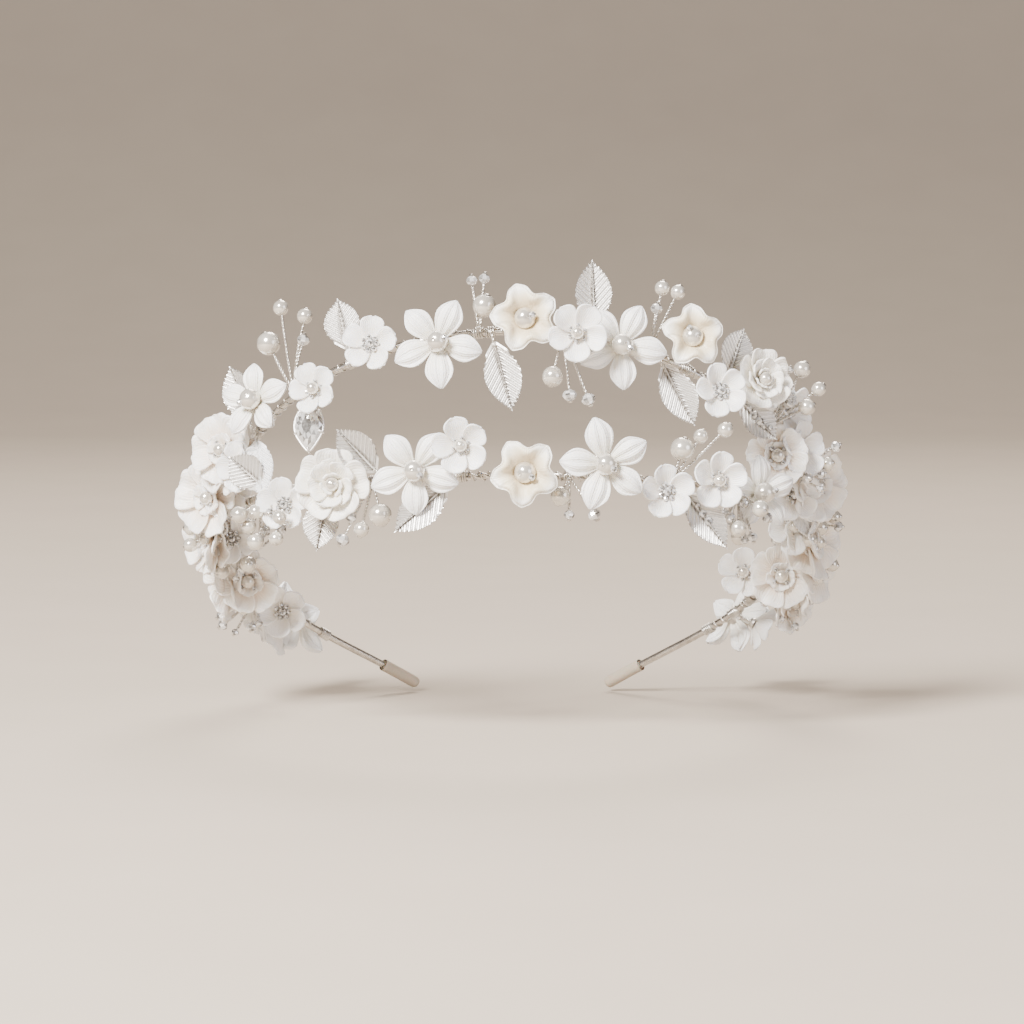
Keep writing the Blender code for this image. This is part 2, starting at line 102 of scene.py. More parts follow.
# What winds round the frame: the wires' radii, how far two twisted wires lie from the line
# they run along, and how long a turn is
COIL_WIRE = 0.28 * MM
WRAP_WIRE = 0.2 * MM
TWIST_WIRE = 0.2 * MM
TWIST_PITCH = 1.9 * MM
STEM_WIRE = 0.27 * MM
STEM_TWIST = 0.26 * MM
STALK_WIRE = 0.25 * MM
STALK_TWIST = 0.24 * MM
BEZEL_WIRE = 0.28 * MM
STRAND_WIRE = 0.44 * MM
STRAND_TWIST = 0.46 * MM
STRAND_PITCH = 6.0 * MM
HOOP_WRAP_PITCH = 2.6 * MM
FRONT_WRAP_PITCH = 2.3 * MM
# Where the fine winding ends: past the temple on the hoop, before the end on the front arch
HOOP_WRAP_PAST_TEMPLE = 50.0 * MM
FRONT_WRAP_STOPS = 12.0 * MM

PEARL_RADIUS = 2.7 * MM
SMALL_PEARL_RADIUS = 1.7 * MM
SEED_RADIUS = 0.85 * MM
# A flower's cap lies this far behind its petals and has this share of its radius
CAP_DEPTH = 1.7 * MM
CAP_SHARE = 0.24
BEAD_CAP_SHARE = 0.38
# A sprig's beads over this radius in millimetres are pearls, the smaller ones crystals
PEARL_FROM = 1.75
SPRAY_BEADS = (1.0, 1.2, 1.4, 1.8, 2.1)
SPRAY_OUT = (4.5, 10.5)
# The crystals glued on a leaf: how far along the leaf, and their radius in millimetres
LEAF_CRYSTALS = ((0.38, 0.8), (0.5, 1.1), (0.62, 1.2), (0.73, 0.9), (0.83, 0.7))
STONE_SET_LEAVES = ("upper_leaf_7", "front_leaf_4")
# How much the leaf-shaped stone is drawn out at its tip, as a share of an oval's half length
STONE_TIP = 0.32
STONE_CLAWS = (0.0, 1.2, 2.39, 3.89, 5.08)

# A station is millimetres along a wire, negative on the left: from the middle on "hoop" and
# "front", from the temple down on "arm" and from the temple up on "brow".
# Rise, out, radius and length are millimetres, spin and aim degrees.  turn_out goes from 0,
# where a piece faces ahead, to 1, where it faces straight off the wire.
Flower = namedtuple("Flower", "name wire station rise out turn_out kind radius spin")
FLOWERS = [
    Flower("upper_hydrangea_left", "hoop", -87, 0, 4.5, 0.65, "hydrangea", 9.5, 20),
    Flower("upper_jasmine_1", "hoop", -71, 4, 6, 0.5, "jasmine", 9.5, 10),
    Flower("upper_blossom_1", "hoop", -49.5, -4, 5, 0.4, "blossom", 6.0, 30),
    Flower("upper_blossom_2", "hoop", -34, 1, 5, 0.4, "blossom", 6.5, 0),
    Flower("upper_jasmine_2", "hoop", -17.5, -2, 5, 0.25, "jasmine", 11.0, -27),
    Flower("upper_cup_1", "hoop", 3, 2.5, 4, 0.2, "cup", 8.0, 15),
    Flower("upper_blossom_3", "hoop", 15, -0.5, 10, 0.2, "blossom", 7.0, 40),
    Flower("upper_jasmine_3", "hoop", 26, -1, 5, 0.25, "jasmine", 10.8, -30),
    Flower("upper_cup_2", "hoop", 44.5, 6.5, 5, 0.35, "cup", 7.6, 0),
    Flower("upper_blossom_4", "hoop", 51, -4.5, 8.5, 0.4, "blossom", 6.5, 20),
    Flower("upper_rose", "hoop", 66.5, 6, 7.5, 0.5, "rose", 7.0, 0),
    Flower("upper_blossom_5", "hoop", 83, 9, 5, 0.7, "blossom", 7.0, 10),
    Flower("upper_hydrangea_right", "brow", 9, 3, 5, 0.7, "hydrangea", 9.5, 0),
    Flower("front_blossom_1", "front", -58.5, -3.5, 5, 0.4, "blossom", 6.5, 10),
    Flower("front_rose", "front", -43.5, 0, 7, 0.3, "rose", 8.0, 0),
    Flower("front_jasmine_1", "front", -23, 2, 6, 0.2, "jasmine", 11.0, -33),
    Flower("front_blossom_2", "front", -12, 7.5, 5.5, 0.2, "blossom", 6.7, 20),
    Flower("front_cup", "front", 3, 1, 4, 0.2, "cup", 8.0, 30),
    Flower("front_jasmine_2", "front", 22, 3.5, 6.5, 0.2, "jasmine", 11.3, 14),
    Flower("front_blossom_3", "front", 37, -2.5, 5, 0.4, "blossom", 6.5, 10),
    Flower("front_blossom_4", "front", 51, 1.5, 7, 0.4, "blossom", 7.0, 0),
    Flower("front_jasmine_3", "front", 65, 0, 6, 0.5, "jasmine", 9.5, 0),
    Flower("side_hydrangea_left_1", "brow", -3.6, -9, 5, 0.8, "hydrangea", 9.0, 0),
    Flower("side_hydrangea_left_2", "arm", -21.5, -4, 6, 0.9, "hydrangea", 9.0, 15),
    Flower("side_blossom_left", "arm", -38, 1, 6, 0.9, "blossom", 6.5, 0),
    Flower("side_jasmine_left", "arm", -55.5, 8, 6, 1.0, "jasmine", 11.0, 10),
    Flower("side_hydrangea_right_1", "brow", 3.6, -10, 5, 0.8, "hydrangea", 9.0, 10),
    Flower("side_hydrangea_right_2", "arm", 19.5, -5, 6, 0.9, "hydrangea", 8.5, 0),
    Flower("side_blossom_right", "arm", 36.5, 7, 8.5, -0.25, "blossom", 6.5, 0),
    Flower("side_jasmine_right", "arm", 52.5, 7, 6, 1.0, "jasmine", 11.0, 0),
]

Leaf = namedtuple("Leaf", "name wire station turn_out length aim")
LEAVES = [
    Leaf("upper_leaf_1", "hoop", -76, 0.5, 17, 117),
    Leaf("upper_leaf_2", "hoop", -40.5, 0.4, 15, 105),
    Leaf("upper_crystal_leaf", "hoop", -53, 0.4, 16.5, -85),
    Leaf("upper_leaf_3", "hoop", -5, 0.2, 19, -75),
    Leaf("upper_leaf_4", "hoop", 20, 0.2, 18, 92),
    Leaf("upper_leaf_5", "hoop", 36, 0.3, 18.5, -65),
    Leaf("upper_leaf_6", "hoop", 56, 0.5, 16, 62),
    Leaf("upper_leaf_7", "hoop", 58.5, 0.5, 15.5, -50),
    Leaf("front_leaf_1", "front", -31, 0.2, 16, 133),
    Leaf("front_leaf_2", "front", -13.2, 0.2, 19, -138),
    Leaf("front_leaf_3", "front", -46.5, 0.3, 15.5, -98),
    Leaf("front_leaf_4", "front", 41, 0.4, 19, -55),
    Leaf("front_leaf_5", "front", -66, 0.35, 13.5, 140),
]

# Thin resin leaves between the flowers, which have no nodes in the frame
EXTRA_LEAVES = [
    Leaf("resin_leaf_left_1", "hoop", -75, 0.45, 17, -72),
    Leaf("resin_leaf_left_2", "brow", -10, 0.5, 16, 128),
    Leaf("resin_leaf_left_3", "arm", -31, 0.6, 16, -115),
    Leaf("resin_leaf_right_1", "hoop", 77, 0.5, 16, 70),
    Leaf("resin_leaf_right_2", "brow", 14, 0.5, 16, -75),
    Leaf("resin_leaf_right_3", "arm", 25, 0.6, 16, -65),
]

# Each bead: how far right, up and out it is from where the branches fork, and its radius
Sprig = namedtuple("Sprig", "name wire station turn_out beads")
SPRIGS = [
    Sprig("upper_sprig_1", "hoop", -58, 0.5,
          [(-5, 20, 3, 1.9), (2, 18, 3, 1.9), (-7, 11, 3, 2.9), (2.5, 12, 3, 1.6)]),
    Sprig("upper_sprig_2", "hoop", -8, 0.2,
          [(1.5, 6, 2, 2.8), (-1.5, 12, 2, 1.4), (1.5, 12.5, 2, 1.4)]),
    Sprig("upper_sprig_3", "hoop", 12, 0.2,
          [(-2.5, -10.5, 2, 2.5), (1.5, -15, 2, 1.7), (6, -16, 2, 1.7)]),
    Sprig("upper_sprig_4", "hoop", 33.5, 0.3,
          [(3.5, 15, 2, 1.8), (7.3, 14, 2, 1.8), (2, 10, 2, 1.5)]),
    Sprig("front_sprig_1", "front", -34, 0.2,
          [(2, -8, 2, 2.8), (-5, -8.5, 2, 1.5), (-2.5, -11.5, 2, 1.9), (-7, -14, 2, 1.7)]),
    Sprig("front_sprig_2", "front", 13.5, 0.2,
          [(-2, -4.5, 0.5, 2.4), (6, -9, 0, 1.6), (0, -9, 0, 1.3)]),
    Sprig("front_sprig_3", "front", 39.2, 0.3,
          [(2.5, 8, 2, 2.9), (7, 11, 2, 1.8), (13, 12.5, 2, 1.9)]),
    Sprig("front_sprig_4", "front", 55, 0.4,
          [(0, -6, 0, 1.3), (3, -8.5, -3, 1.3), (-1, -10, -1, 1.4), (5, -12, -4, 2.0)]),
    Sprig("side_sprig_left", "arm", -16.5, -1.0,
          [(-2, 10, 4, 1.8), (0, 5, 8, 1.6), (3, 9, 6, 1.8), (4, 5, 3, 1.6)]),
]

# Small trim that has no nodes in the frame: it fills the crown's two sides
EXTRA_FLOWERS = [
    Flower("posy_left_1", "brow", -19, 3, 7, 0.45, "hydrangea", 8.5, 30),
    Flower("posy_left_2", "brow", -6, 0, 8.5, 0.45, "hydrangea", 9.0, 5),
    Flower("posy_left_3", "arm", -10, 1, 8, 0.5, "hydrangea", 8.8, 40),
    Flower("posy_left_4", "arm", -27, 3, 7.5, 0.55, "hydrangea", 8.5, 0),
    Flower("posy_left_5", "arm", -46, 0, 6.5, 0.75, "blossom", 6.3, 25),
    Flower("posy_left_6", "brow", -26, -5, 5, 0.2, "blossom", 6.3, 25),
    Flower("posy_left_7", "brow", -7, 1, 6, 0.15, "blossom", 6.8, 10),
    Flower("posy_left_8", "arm", -9, 0, 6, 0.12, "blossom", 6.5, 40),
    Flower("posy_left_9", "arm", -25, -1, 6, 0.1, "hydrangea", 8.0, 15),
    Flower("posy_left_10", "arm", -41, 0, 5, 0.05, "blossom", 6.8, 30),
    Flower("posy_right_1", "brow", 22, 1, 7, 0.5, "blossom", 7.0, 0),
    Flower("posy_right_2", "brow", 6, 3, 9, 0.45, "hydrangea", 9.0, 12),
    Flower("posy_right_3", "arm", 9, 0, 8.5, 0.4, "hydrangea", 8.8, 0),
    Flower("posy_right_4", "arm", 15, -3, 9, 0.6, "hydrangea", 8.5, 30),
    Flower("posy_right_5", "arm", 28, -3, 8, 0.5, "hydrangea", 8.0, 0),
    Flower("posy_right_6", "arm", 43, 0, 6.5, 0.75, "blossom", 6.3, 20),
    Flower("posy_right_7", "brow", 29, -4, 5, 0.2, "hydrangea", 7.5, 20),
    Flower("posy_right_8", "brow", 12, -3, 6, 0.15, "blossom", 6.5, 10),
    Flower("posy_right_9", "arm", 3, -1, 6, 0.1, "blossom", 6.8, 35),
    Flower("posy_right_10", "arm", 21, -2, 6, 0.1, "hydrangea", 8.0, 5),
]

# A spray's beads lie within its spread of a middle that is this far right and up
Spray = namedtuple("Spray", "name wire station turn_out count right up spread")
SPRAYS = [
    Spray("spray_left_1", "brow", -15, 0.3, 6, 4, 2, 6),
    Spray("spray_left_2", "front", -63, 0.3, 7, -2, -7, 6),
    Spray("spray_left_3", "arm", -4, 0.3, 8, -2, -1, 7),
    Spray("spray_left_4", "arm", -17, 0.3, 8, 2, 0, 7),
    Spray("spray_left_5", "arm", -33, 0.4, 7, -2, -4, 7),
    Spray("spray_left_6", "arm", -13, 0.8, 7, -2, 4, 7),
    Spray("spray_right_1", "hoop", 74, 0.5, 6, 5, 8, 6),
    Spray("spray_right_2", "brow", 16, 0.3, 8, 3, 2, 7),
    Spray("spray_right_3", "front", 60, 0.3, 7, 0, -7, 6),
    Spray("spray_right_4", "arm", 3, 0.3, 8, 3, 2, 7),
    Spray("spray_right_5", "arm", 16, 0.3, 8, 5, -1, 7),
    Spray("spray_right_6", "arm", 31, 0.3, 8, 3, -3, 7),
]

chance = random.Random(11)

# ---------------------------------------------------------------- materials


def linear(code):
    """A hex colour as the linear values that a shader takes."""
    channels = [int(code[i:i + 2], 16) / 255 for i in (1, 3, 5)]
    return [c / 12.92 if c <= 0.04045 else ((c + 0.055) / 1.055) ** 2.4 for c in channels] + [1.0]


def add(tree, kind, values=None, links=None, stops=(), **settings):
    """A node with its settings, its sockets' values and what is linked into it; a colour
    ramp also has its stops, each a position and a hex colour, in rising order."""
    node = tree.nodes.new(kind)
    for name, value in settings.items():
        setattr(node, name, value)
    for name, value in (values or {}).items():
        node.inputs[name].default_value = value
    for name, socket in (links or {}).items():
        tree.links.new(socket, node.inputs[name])
    for index, (position, code) in enumerate(stops):
        elements = node.color_ramp.elements
        stop = elements[index] if index < 2 else elements.new(position)
        stop.position = position
        stop.color = linear(code)
    return node


def blank(name, **values):
    """A new material, its node tree, its shader with values on the shader's own sockets, and
    the object's coordinates, which every pattern follows."""
    made = bpy.data.materials.new(name)
    made.use_nodes = True
    tree = made.node_tree
    shader = tree.nodes["Principled BSDF"]
    for socket, value in values.items():
        shader.inputs[socket.replace("_", " ")].default_value = value
    return made, tree, shader, add(tree, "ShaderNodeTexCoord").outputs["Object"]


def feed(tree, shader, **sockets):
    """Link what drives the shader into its sockets."""
    for name, socket in sockets.items():
        tree.links.new(socket, shader.inputs[name.replace("_", " ")])


def per_mm(size):
    """The noise scale whose grain is this many millimetres."""
    return 1.0 / (size * MM)


def moulded_petal(name, heart, body, rim, roughness, glow, vein_depth, coat, throat=0.16):
    """Clay or resin pressed in a veined mould: deeper coloured in the heart, pale at the rim."""
    made, tree, shader, place = blank(
        name, Roughness=roughness, Subsurface_Weight=glow, Subsurface_Scale=0.9 * MM,
        Subsurface_Radius=(1.0, 0.86, 0.70), Coat_Weight=coat, Coat_Roughness=0.35)
    reach = add(tree, "ShaderNodeAttribute", attribute_name="reach")
    across = add(tree, "ShaderNodeAttribute", attribute_name="across")
    mottle = add(tree, "ShaderNodeTexNoise", {"Scale": per_mm(2.2), "Detail": 3.0},
                 {"Vector": place})
    uneven = add(tree, "ShaderNodeMath", {1: 0.22},
                 {0: mottle.outputs["Fac"], 2: reach.outputs["Fac"]}, operation='MULTIPLY_ADD')
    tint = add(tree, "ShaderNodeValToRGB", links={"Fac": uneven.outputs[0]},
               stops=[(throat, heart), (throat + 0.46, body), (0.98, rim)])
    # The mould's veins run from the heart to the rim, about 13 to a petal, and waver a little
    phase = add(tree, "ShaderNodeMath", {1: 40.0}, {0: across.outputs["Fac"]},
                operation='MULTIPLY')
    wander = add(tree, "ShaderNodeMath", {1: 5.0},
                 {0: mottle.outputs["Fac"], 2: phase.outputs[0]}, operation='MULTIPLY_ADD')
    veins = add(tree, "ShaderNodeMath", links={0: wander.outputs[0]}, operation='SINE')
    skin = add(tree, "ShaderNodeTexNoise", {"Scale": per_mm(0.5), "Detail": 2.0},
               {"Vector": place})
    relief = add(tree, "ShaderNodeMath", {1: 0.25},
                 {0: veins.outputs[0], 2: skin.outputs["Fac"]}, operation='MULTIPLY_ADD')
    bump = add(tree, "ShaderNodeBump", {"Strength": 0.6, "Distance": vein_depth * MM},
               {"Height": relief.outputs[0]})
    feed(tree, shader, Base_Color=tint.outputs["Color"], Normal=bump.outputs["Normal"])
    return made


def glass_pearl():
    """Glass bead dipped in pearl lacquer: a deep gloss that drifts from warm grey to ivory."""
    made, tree, shader, place = blank(
        "glass_pearl", Roughness=0.2, Coat_Weight=1.0, Coat_Roughness=0.04, Sheen_Weight=0.1,
        Sheen_Roughness=0.3, Metallic=0.6)
    drift = add(tree, "ShaderNodeTexNoise", {"Scale": per_mm(3.5), "Detail": 1.0},
                {"Vector": place})
    tint = add(tree, "ShaderNodeValToRGB", links={"Fac": drift.outputs["Fac"]},
               stops=[(0.3, "#D6CFC4"), (0.7, "#E8E4DA")])
    skin = add(tree, "ShaderNodeTexNoise", {"Scale": per_mm(0.35), "Detail": 2.0},
               {"Vector": place})
    bump = add(tree, "ShaderNodeBump", {"Strength": 0.15, "Distance": 0.02 * MM},
               {"Height": skin.outputs["Fac"]})
    feed(tree, shader, Base_Color=tint.outputs["Color"], Normal=bump.outputs["Normal"])
    return made


def cut_crystal():
    """Machine-cut lead glass with a foiled back; its bright and dark facets side by side are painted
    reflections.
    """
    made, tree, shader, place = blank(
        "cut_crystal", Roughness=0.03, IOR=1.62, Transmission_Weight=0.35, Metallic=0.35,
        Coat_Weight=1.0, Coat_Roughness=0.02)
    facet_reflection = add(tree, "ShaderNodeAttribute", attribute_name="facet_reflection")
    cloud = add(tree, "ShaderNodeTexNoise", {"Scale": per_mm(0.6)}, {"Vector": place})
    gleam = add(tree, "ShaderNodeMath", {1: 0.25},
                {0: cloud.outputs["Fac"], 2: facet_reflection.outputs["Fac"]}, operation='MULTIPLY_ADD')
    # The dark and bright stops are painted reflections, one tone to a facet.
    tint = add(tree, "ShaderNodeValToRGB", links={"Fac": gleam.outputs[0]},
               stops=[(0.2, "#6C6A67"), (0.62, "#FDFDFD")])
    feed(tree, shader, Base_Color=tint.outputs["Color"])
    return made


def stamped_silver_leaf():
    """Silver-plated brass foil, stamped: bright ribs, hollows painted darker as shade and tarnish, a
    crinkled grain.
    """
    made, tree, shader, place = blank("stamped_silver_leaf", Metallic=1.0)
    crinkle = add(tree, "ShaderNodeTexVoronoi", {"Scale": per_mm(0.6)}, {"Vector": place})
    grain = add(tree, "ShaderNodeTexNoise", {"Scale": per_mm(0.4), "Detail": 4.0},
                {"Vector": place})
    shade_and_tarnish = add(tree, "ShaderNodeAttribute", attribute_name="shade_and_tarnish")
    depth = add(tree, "ShaderNodeMath", {1: 0.3},
                {0: grain.outputs["Fac"], 2: shade_and_tarnish.outputs["Fac"]}, operation='MULTIPLY_ADD')
    # Darker towards the hollows: painted shade and tarnish, mixed with the grain.
    tint = add(tree, "ShaderNodeValToRGB", links={"Fac": depth.outputs[0]},
               stops=[(0.15, "#FFFEFC"), (0.95, "#A39E98")])
    gloss = add(tree, "ShaderNodeMapRange", {"To Min": 0.36, "To Max": 0.54},
                {"Value": grain.outputs["Fac"]})
    relief = add(tree, "ShaderNodeMath", {1: 0.6},
                 {0: crinkle.outputs["Distance"], 2: grain.outputs["Fac"]},
                 operation='MULTIPLY_ADD')
    bump = add(tree, "ShaderNodeBump", {"Strength": 0.45, "Distance": 0.06 * MM},
               {"Height": relief.outputs[0]})
    feed(tree, shader, Base_Color=tint.outputs["Color"], Roughness=gloss.outputs["Result"],
         Normal=bump.outputs["Normal"])
    return made


def plated_wire(name, shade, bright, roughness):
    """Drawn brass wire with a champagne-silver plating, a little uneven where it was handled."""
    made, tree, shader, place = blank(name, Metallic=1.0)
    wear = add(tree, "ShaderNodeTexNoise", {"Scale": per_mm(1.6), "Detail": 4.0},
               {"Vector": place})
    tint = add(tree, "ShaderNodeValToRGB", links={"Fac": wear.outputs["Fac"]},
               stops=[(0.3, shade), (0.7, bright)])
    gloss = add(tree, "ShaderNodeMapRange", {"To Min": roughness - 0.07, "To Max": roughness + 0.1},
                {"Value": wear.outputs["Fac"]})
    feed(tree, shader, Base_Color=tint.outputs["Color"], Roughness=gloss.outputs["Result"])
    return made


def satin_nylon():
    """Moulded nylon, satin: it scatters the light a little and has a fine frosted grain."""
    made, tree, shader, place = blank("satin_nylon", Roughness=0.42, Subsurface_Weight=0.2,
                                      Subsurface_Scale=0.8 * MM)
    grain = add(tree, "ShaderNodeTexNoise", {"Scale": per_mm(0.5), "Detail": 3.0},
                {"Vector": place})
    tint = add(tree, "ShaderNodeValToRGB", links={"Fac": grain.outputs["Fac"]},
               stops=[(0.0, "#B4A795"), (1.0, "#C6BAAA")])
    bump = add(tree, "ShaderNodeBump", {"Strength": 0.3, "Distance": 0.03 * MM},
               {"Height": grain.outputs["Fac"]})
    feed(tree, shader, Base_Color=tint.outputs["Color"], Normal=bump.outputs["Normal"])
    return made


# Air-dried porcelain clay, thick and satin: pure white jasmines
WHITE_CLAY = moulded_petal("white_porcelain_clay", "#F1ECDD", "#FBFAF6", "#FFFFFF",
                           0.38, 0.18, 0.34, 0.25)
# The same clay tinted ivory in the throat
IVORY_CLAY = moulded_petal("ivory_porcelain_clay", "#CDB88C", "#F0E4CA", "#FDFBF4",
                           0.42, 0.18, 0.16, 0.15, 0.30)
# Thinner cream clay in layers
CREAM_CLAY = moulded_petal("cream_porcelain_clay", "#EFE3CC", "#F8F2E6", "#FCF9F2",
                           0.46, 0.25, 0.2, 0.1)
# Thin cast resin, frosted: light goes through it
FROSTED_RESIN = moulded_petal("frosted_resin", "#EFE8DF", "#F5F1EC", "#FFFFFF",
                              0.34, 0.42, 0.18, 0.25)
# The same resin with a breath of blush in it
BLUSH_RESIN = moulded_petal("blush_resin", "#DCC8B4", "#EEE2D6", "#FBF7F2",
                            0.38, 0.42, 0.2, 0.15)
PEARL = glass_pearl()
CRYSTAL = cut_crystal()
LEAF_SILVER = stamped_silver_leaf()
HOOP_WIRE = plated_wire("champagne_plated_rod", "#C4BEB6", "#E8E4DE", 0.24)
FINE_WIRE = plated_wire("champagne_fine_wire", "#BDB8B1", "#F0EDE8", 0.3)
SLEEVE_NYLON = satin_nylon()

PETAL_LOOKS = {
    "jasmine": (WHITE_CLAY, "jasmine_petals"),
    "cup": (IVORY_CLAY, "cup_petals"),
    "rose": (CREAM_CLAY, "rose_petals"),
    "blossom": (FROSTED_RESIN, "blossom_petals"),
    "hydrangea": (BLUSH_RESIN, "hydrangea_petals"),
}

# ---------------------------------------------------------------- modelling helpers


def drop_selection():
    """An operator acts on all that is selected, so each starts from nothing."""
    bpy.ops.object.select_all(action='DESELECT')


def edit():
    """Go into edit mode on the active object, with points as what is picked."""
    bpy.ops.object.mode_set(mode='EDIT')
    bpy.ops.mesh.select_mode(type='VERT')


def leave():
    """Back to object mode; gives the object that was edited."""
    bpy.ops.object.mode_set(mode='OBJECT')
    return bpy.context.object


def pick(rule):
    """In edit mode, select only the points whose place meets the rule."""
    shape = bmesh.from_edit_mesh(bpy.context.edit_object.data)
    bpy.ops.mesh.select_all(action='DESELECT')
    for spot in shape.verts:
        spot.select_set(bool(rule(spot.co)))
    shape.select_flush(True)
    bmesh.update_edit_mesh(bpy.context.edit_object.data)


def only(thing):
    """Make it the one selected and active object."""
    drop_selection()
    thing.select_set(True)
    bpy.context.view_layer.objects.active = thing


def note(thing, name, rule):
    """Write a value at each point that the materials can follow."""
    values = [rule(spot.co) for spot in thing.data.vertices]
    channel = thing.data.attributes.get(name)
    if channel is None:
        channel = thing.data.attributes.new(name, 'FLOAT', 'POINT')
    channel.data.foreach_set("value", values)


def note_facet_reflections(thing):
    """Give each flat facet a tone of its own, found from its normal: a painted reflection, bright or
    dark.
    """
    channel = thing.data.attributes.new("facet_reflection", 'FLOAT', 'FACE')
    for face, spot in zip(thing.data.polygons, channel.data):
        x, y, z = face.normal
        spot.value = (math.sin(x * 12.99 + y * 78.23 + z * 37.72) * 437.58) % 1.0


def copy_of(master, place):
    """A copy with a mesh of its own, set down at its place."""
    mesh = master.data.copy()
    mesh.transform(place)
    made = bpy.data.objects.new(master.name + "_copy", mesh)
    bpy.context.collection.objects.link(made)
    return made


def joined(name, things):
    """The things as one object and mesh of this name."""
    drop_selection()
    for thing in things:
        thing.select_set(True)
    bpy.context.view_layer.objects.active = things[0]
    if len(things) > 1:
        bpy.ops.object.join()
    made = bpy.context.view_layer.objects.active
    made.name = name
    made.data.name = name
    return made


def applied(thing, kind, **settings):
    """Add a modifier with its settings and apply it."""
    only(thing)
    change = thing.modifiers.new(kind.lower(), kind)
    for name, value in settings.items():
        setattr(change, name, value)
    bpy.ops.object.modifier_apply(modifier=change.name)
    return thing


def smoothed(thing, angle=40):
    only(thing)
    bpy.ops.object.shade_smooth_by_angle(angle=math.radians(angle))
    return thing


def look(thing, material):
    thing.data.materials.clear()
    thing.data.materials.append(material)
    return thing


def turned(name, sides, profile, closed_start=True):
    """A round form drawn up ring by ring: each step is a radius and a height."""
    drop_selection()
    radius, height = profile[0]
    bpy.ops.mesh.primitive_circle_add(vertices=sides, radius=radius, location=(0, 0, 0),
                                      fill_type='TRIFAN' if closed_start else 'NOTHING')
    edit()
    bpy.ops.transform.translate(value=(0, 0, height))
    for wide, high in profile[1:]:
        pick(lambda co: abs(co.z - height) < 1e-7 and co.xy.length > radius * 0.5)
        bpy.ops.mesh.extrude_region_move(TRANSFORM_OT_translate={"value": (0, 0, high - height)})
        if wide == 0:
            bpy.ops.mesh.merge(type='CENTER')
        else:
            bpy.ops.transform.resize(value=(wide / radius, wide / radius, 1),
                                     center_override=(0, 0, 0))
        radius = wide
        height = high
    bpy.ops.mesh.select_all(action='SELECT')
    bpy.ops.mesh.normals_make_consistent(inside=False)
    made = leave()
    made.name = name
    return made


def basis(across, up, facing, origin):
    """The matrix whose x, y and z axes are the three directions."""
    turned_axes = Matrix((across, up, facing)).transposed().to_4x4()
    return Matrix.Translation(origin) @ turned_axes


def turned_to(direction):
    return Vector((0, 0, 1)).rotation_difference(direction).to_matrix().to_4x4()


def drawn_wire(name, lines, radius, material, roundness=1):
    """Wires along lists of points, as one mesh."""
    drop_selection()
    curve = bpy.data.curves.new(name, 'CURVE')
    curve.dimensions = '3D'
    curve.bevel_depth = radius
    curve.bevel_resolution = roundness
    curve.use_fill_caps = True
    for points in lines:
        spline = curve.splines.new('POLY')
        spline.points.add(len(points) - 1)
        for spot, point in zip(spline.points, points):
            spot.co = (*point, 1.0)
    made = bpy.data.objects.new(name, curve)
    bpy.context.collection.objects.link(made)
    only(made)
    bpy.ops.object.convert(target='MESH')
    edit()
    bpy.ops.mesh.select_all(action='SELECT')
    bpy.ops.mesh.remove_doubles(threshold=radius * 0.02)
    made = leave()
    made.data.shade_smooth()
    return look(made, material)


# ---------------------------------------------------------------- the wires' routes


def tilted(tilt, across, forward, side):
    """A point of a plane that is tilted forward by this angle, on this side."""
    return Vector((side * across, -forward * math.cos(tilt), forward * math.sin(tilt)))


def bezier(ends, count):
    """Points of a curve after its start, from four control points."""
    a, b, c, d = ends
    points = []
    for step in range(1, count + 1):
        t = step / count
        s = 1.0 - t
        points.append(a * s ** 3 + b * 3 * s * s * t + c * 3 * s * t * t + d * t ** 3)
    return points


class Route:
    """A polyline that is read by its length from the crown's middle."""

    def __init__(self, points):
        self.points = points
        self.lengths = [0.0]
        for before, after in zip(points, points[1:]):
            self.lengths.append(self.lengths[-1] + (after - before).length)
        self.total = self.lengths[-1]

    def at(self, length):
        length = min(max(length, 0.0), self.total)
        index = 1
        while self.lengths[index] < length:
            index += 1
        start = self.lengths[index - 1]
        share = (length - start) / (self.lengths[index] - start)
        return self.points[index - 1].lerp(self.points[index], share)

    def along(self, length):
        step = 0.5 * MM
        return (self.at(length + step) - self.at(length - step)).normalized()


def quarter_arch(half_width, height, tilt, side, last_angle):
    points = []
    count = 90
    for step in range(count + 1):
        angle = last_angle * step / count
        points.append(tilted(tilt, half_width * math.sin(angle), height * math.cos(angle), side))
    return points


def hoop_route(side):
    """Half of the hoop from the middle to the tip, and how far along it the temple is."""
    arch = quarter_arch(HOOP_HALF_WIDTH, CROWN_HEIGHT, HOOP_TILT, side, math.pi / 2)
    pull_across = TIP_HALF_GAP + TIP_RUN * math.cos(TIP_ANGLE)
    pull_back = ARM_REACH - TIP_RUN * math.sin(TIP_ANGLE)
    arm = bezier([
        tilted(HOOP_TILT, HOOP_HALF_WIDTH, 0.0, side),
        tilted(HOOP_TILT, HOOP_HALF_WIDTH, -ARM_STRAIGHT, side),
        tilted(HOOP_TILT, pull_across, -pull_back, side),
        tilted(HOOP_TILT, TIP_HALF_GAP, -ARM_REACH, side),
    ], 80)
    return Route(arch + arm), Route(arch).total


def outward(along, tilt, side):
    """The way off a frame wire, away from the head."""
    rise = Vector((0.0, math.sin(tilt), math.cos(tilt)))
    return (along.cross(rise) * side).normalized()


def front_route(side, hoop, temple):
    """The front arch, its sweep into the arm and the length that is bound to the arm."""
    apart = 2 * WIRE_RADIUS + FIT_GAP
    arch = quarter_arch(HOOP_HALF_WIDTH - apart, FRONT_HEIGHT, FRONT_TILT, side, FRONT_LEAVES_AT)
    leave_way = (arch[-1] - arch[-2]).normalized()

    def beside(length):
        return hoop.at(length) - outward(hoop.along(length), HOOP_TILT, side) * apart

    start = temple + BIND_START
    meet = beside(start)
    follow = hoop.along(start)
    join = bezier([arch[-1], arch[-1] + leave_way * JOIN_PULL, meet - follow * JOIN_PULL, meet], 16)
    bound = [beside(start + BIND_LENGTH * step / 10) for step in range(1, 11)]
    return Route(arch + join + bound)


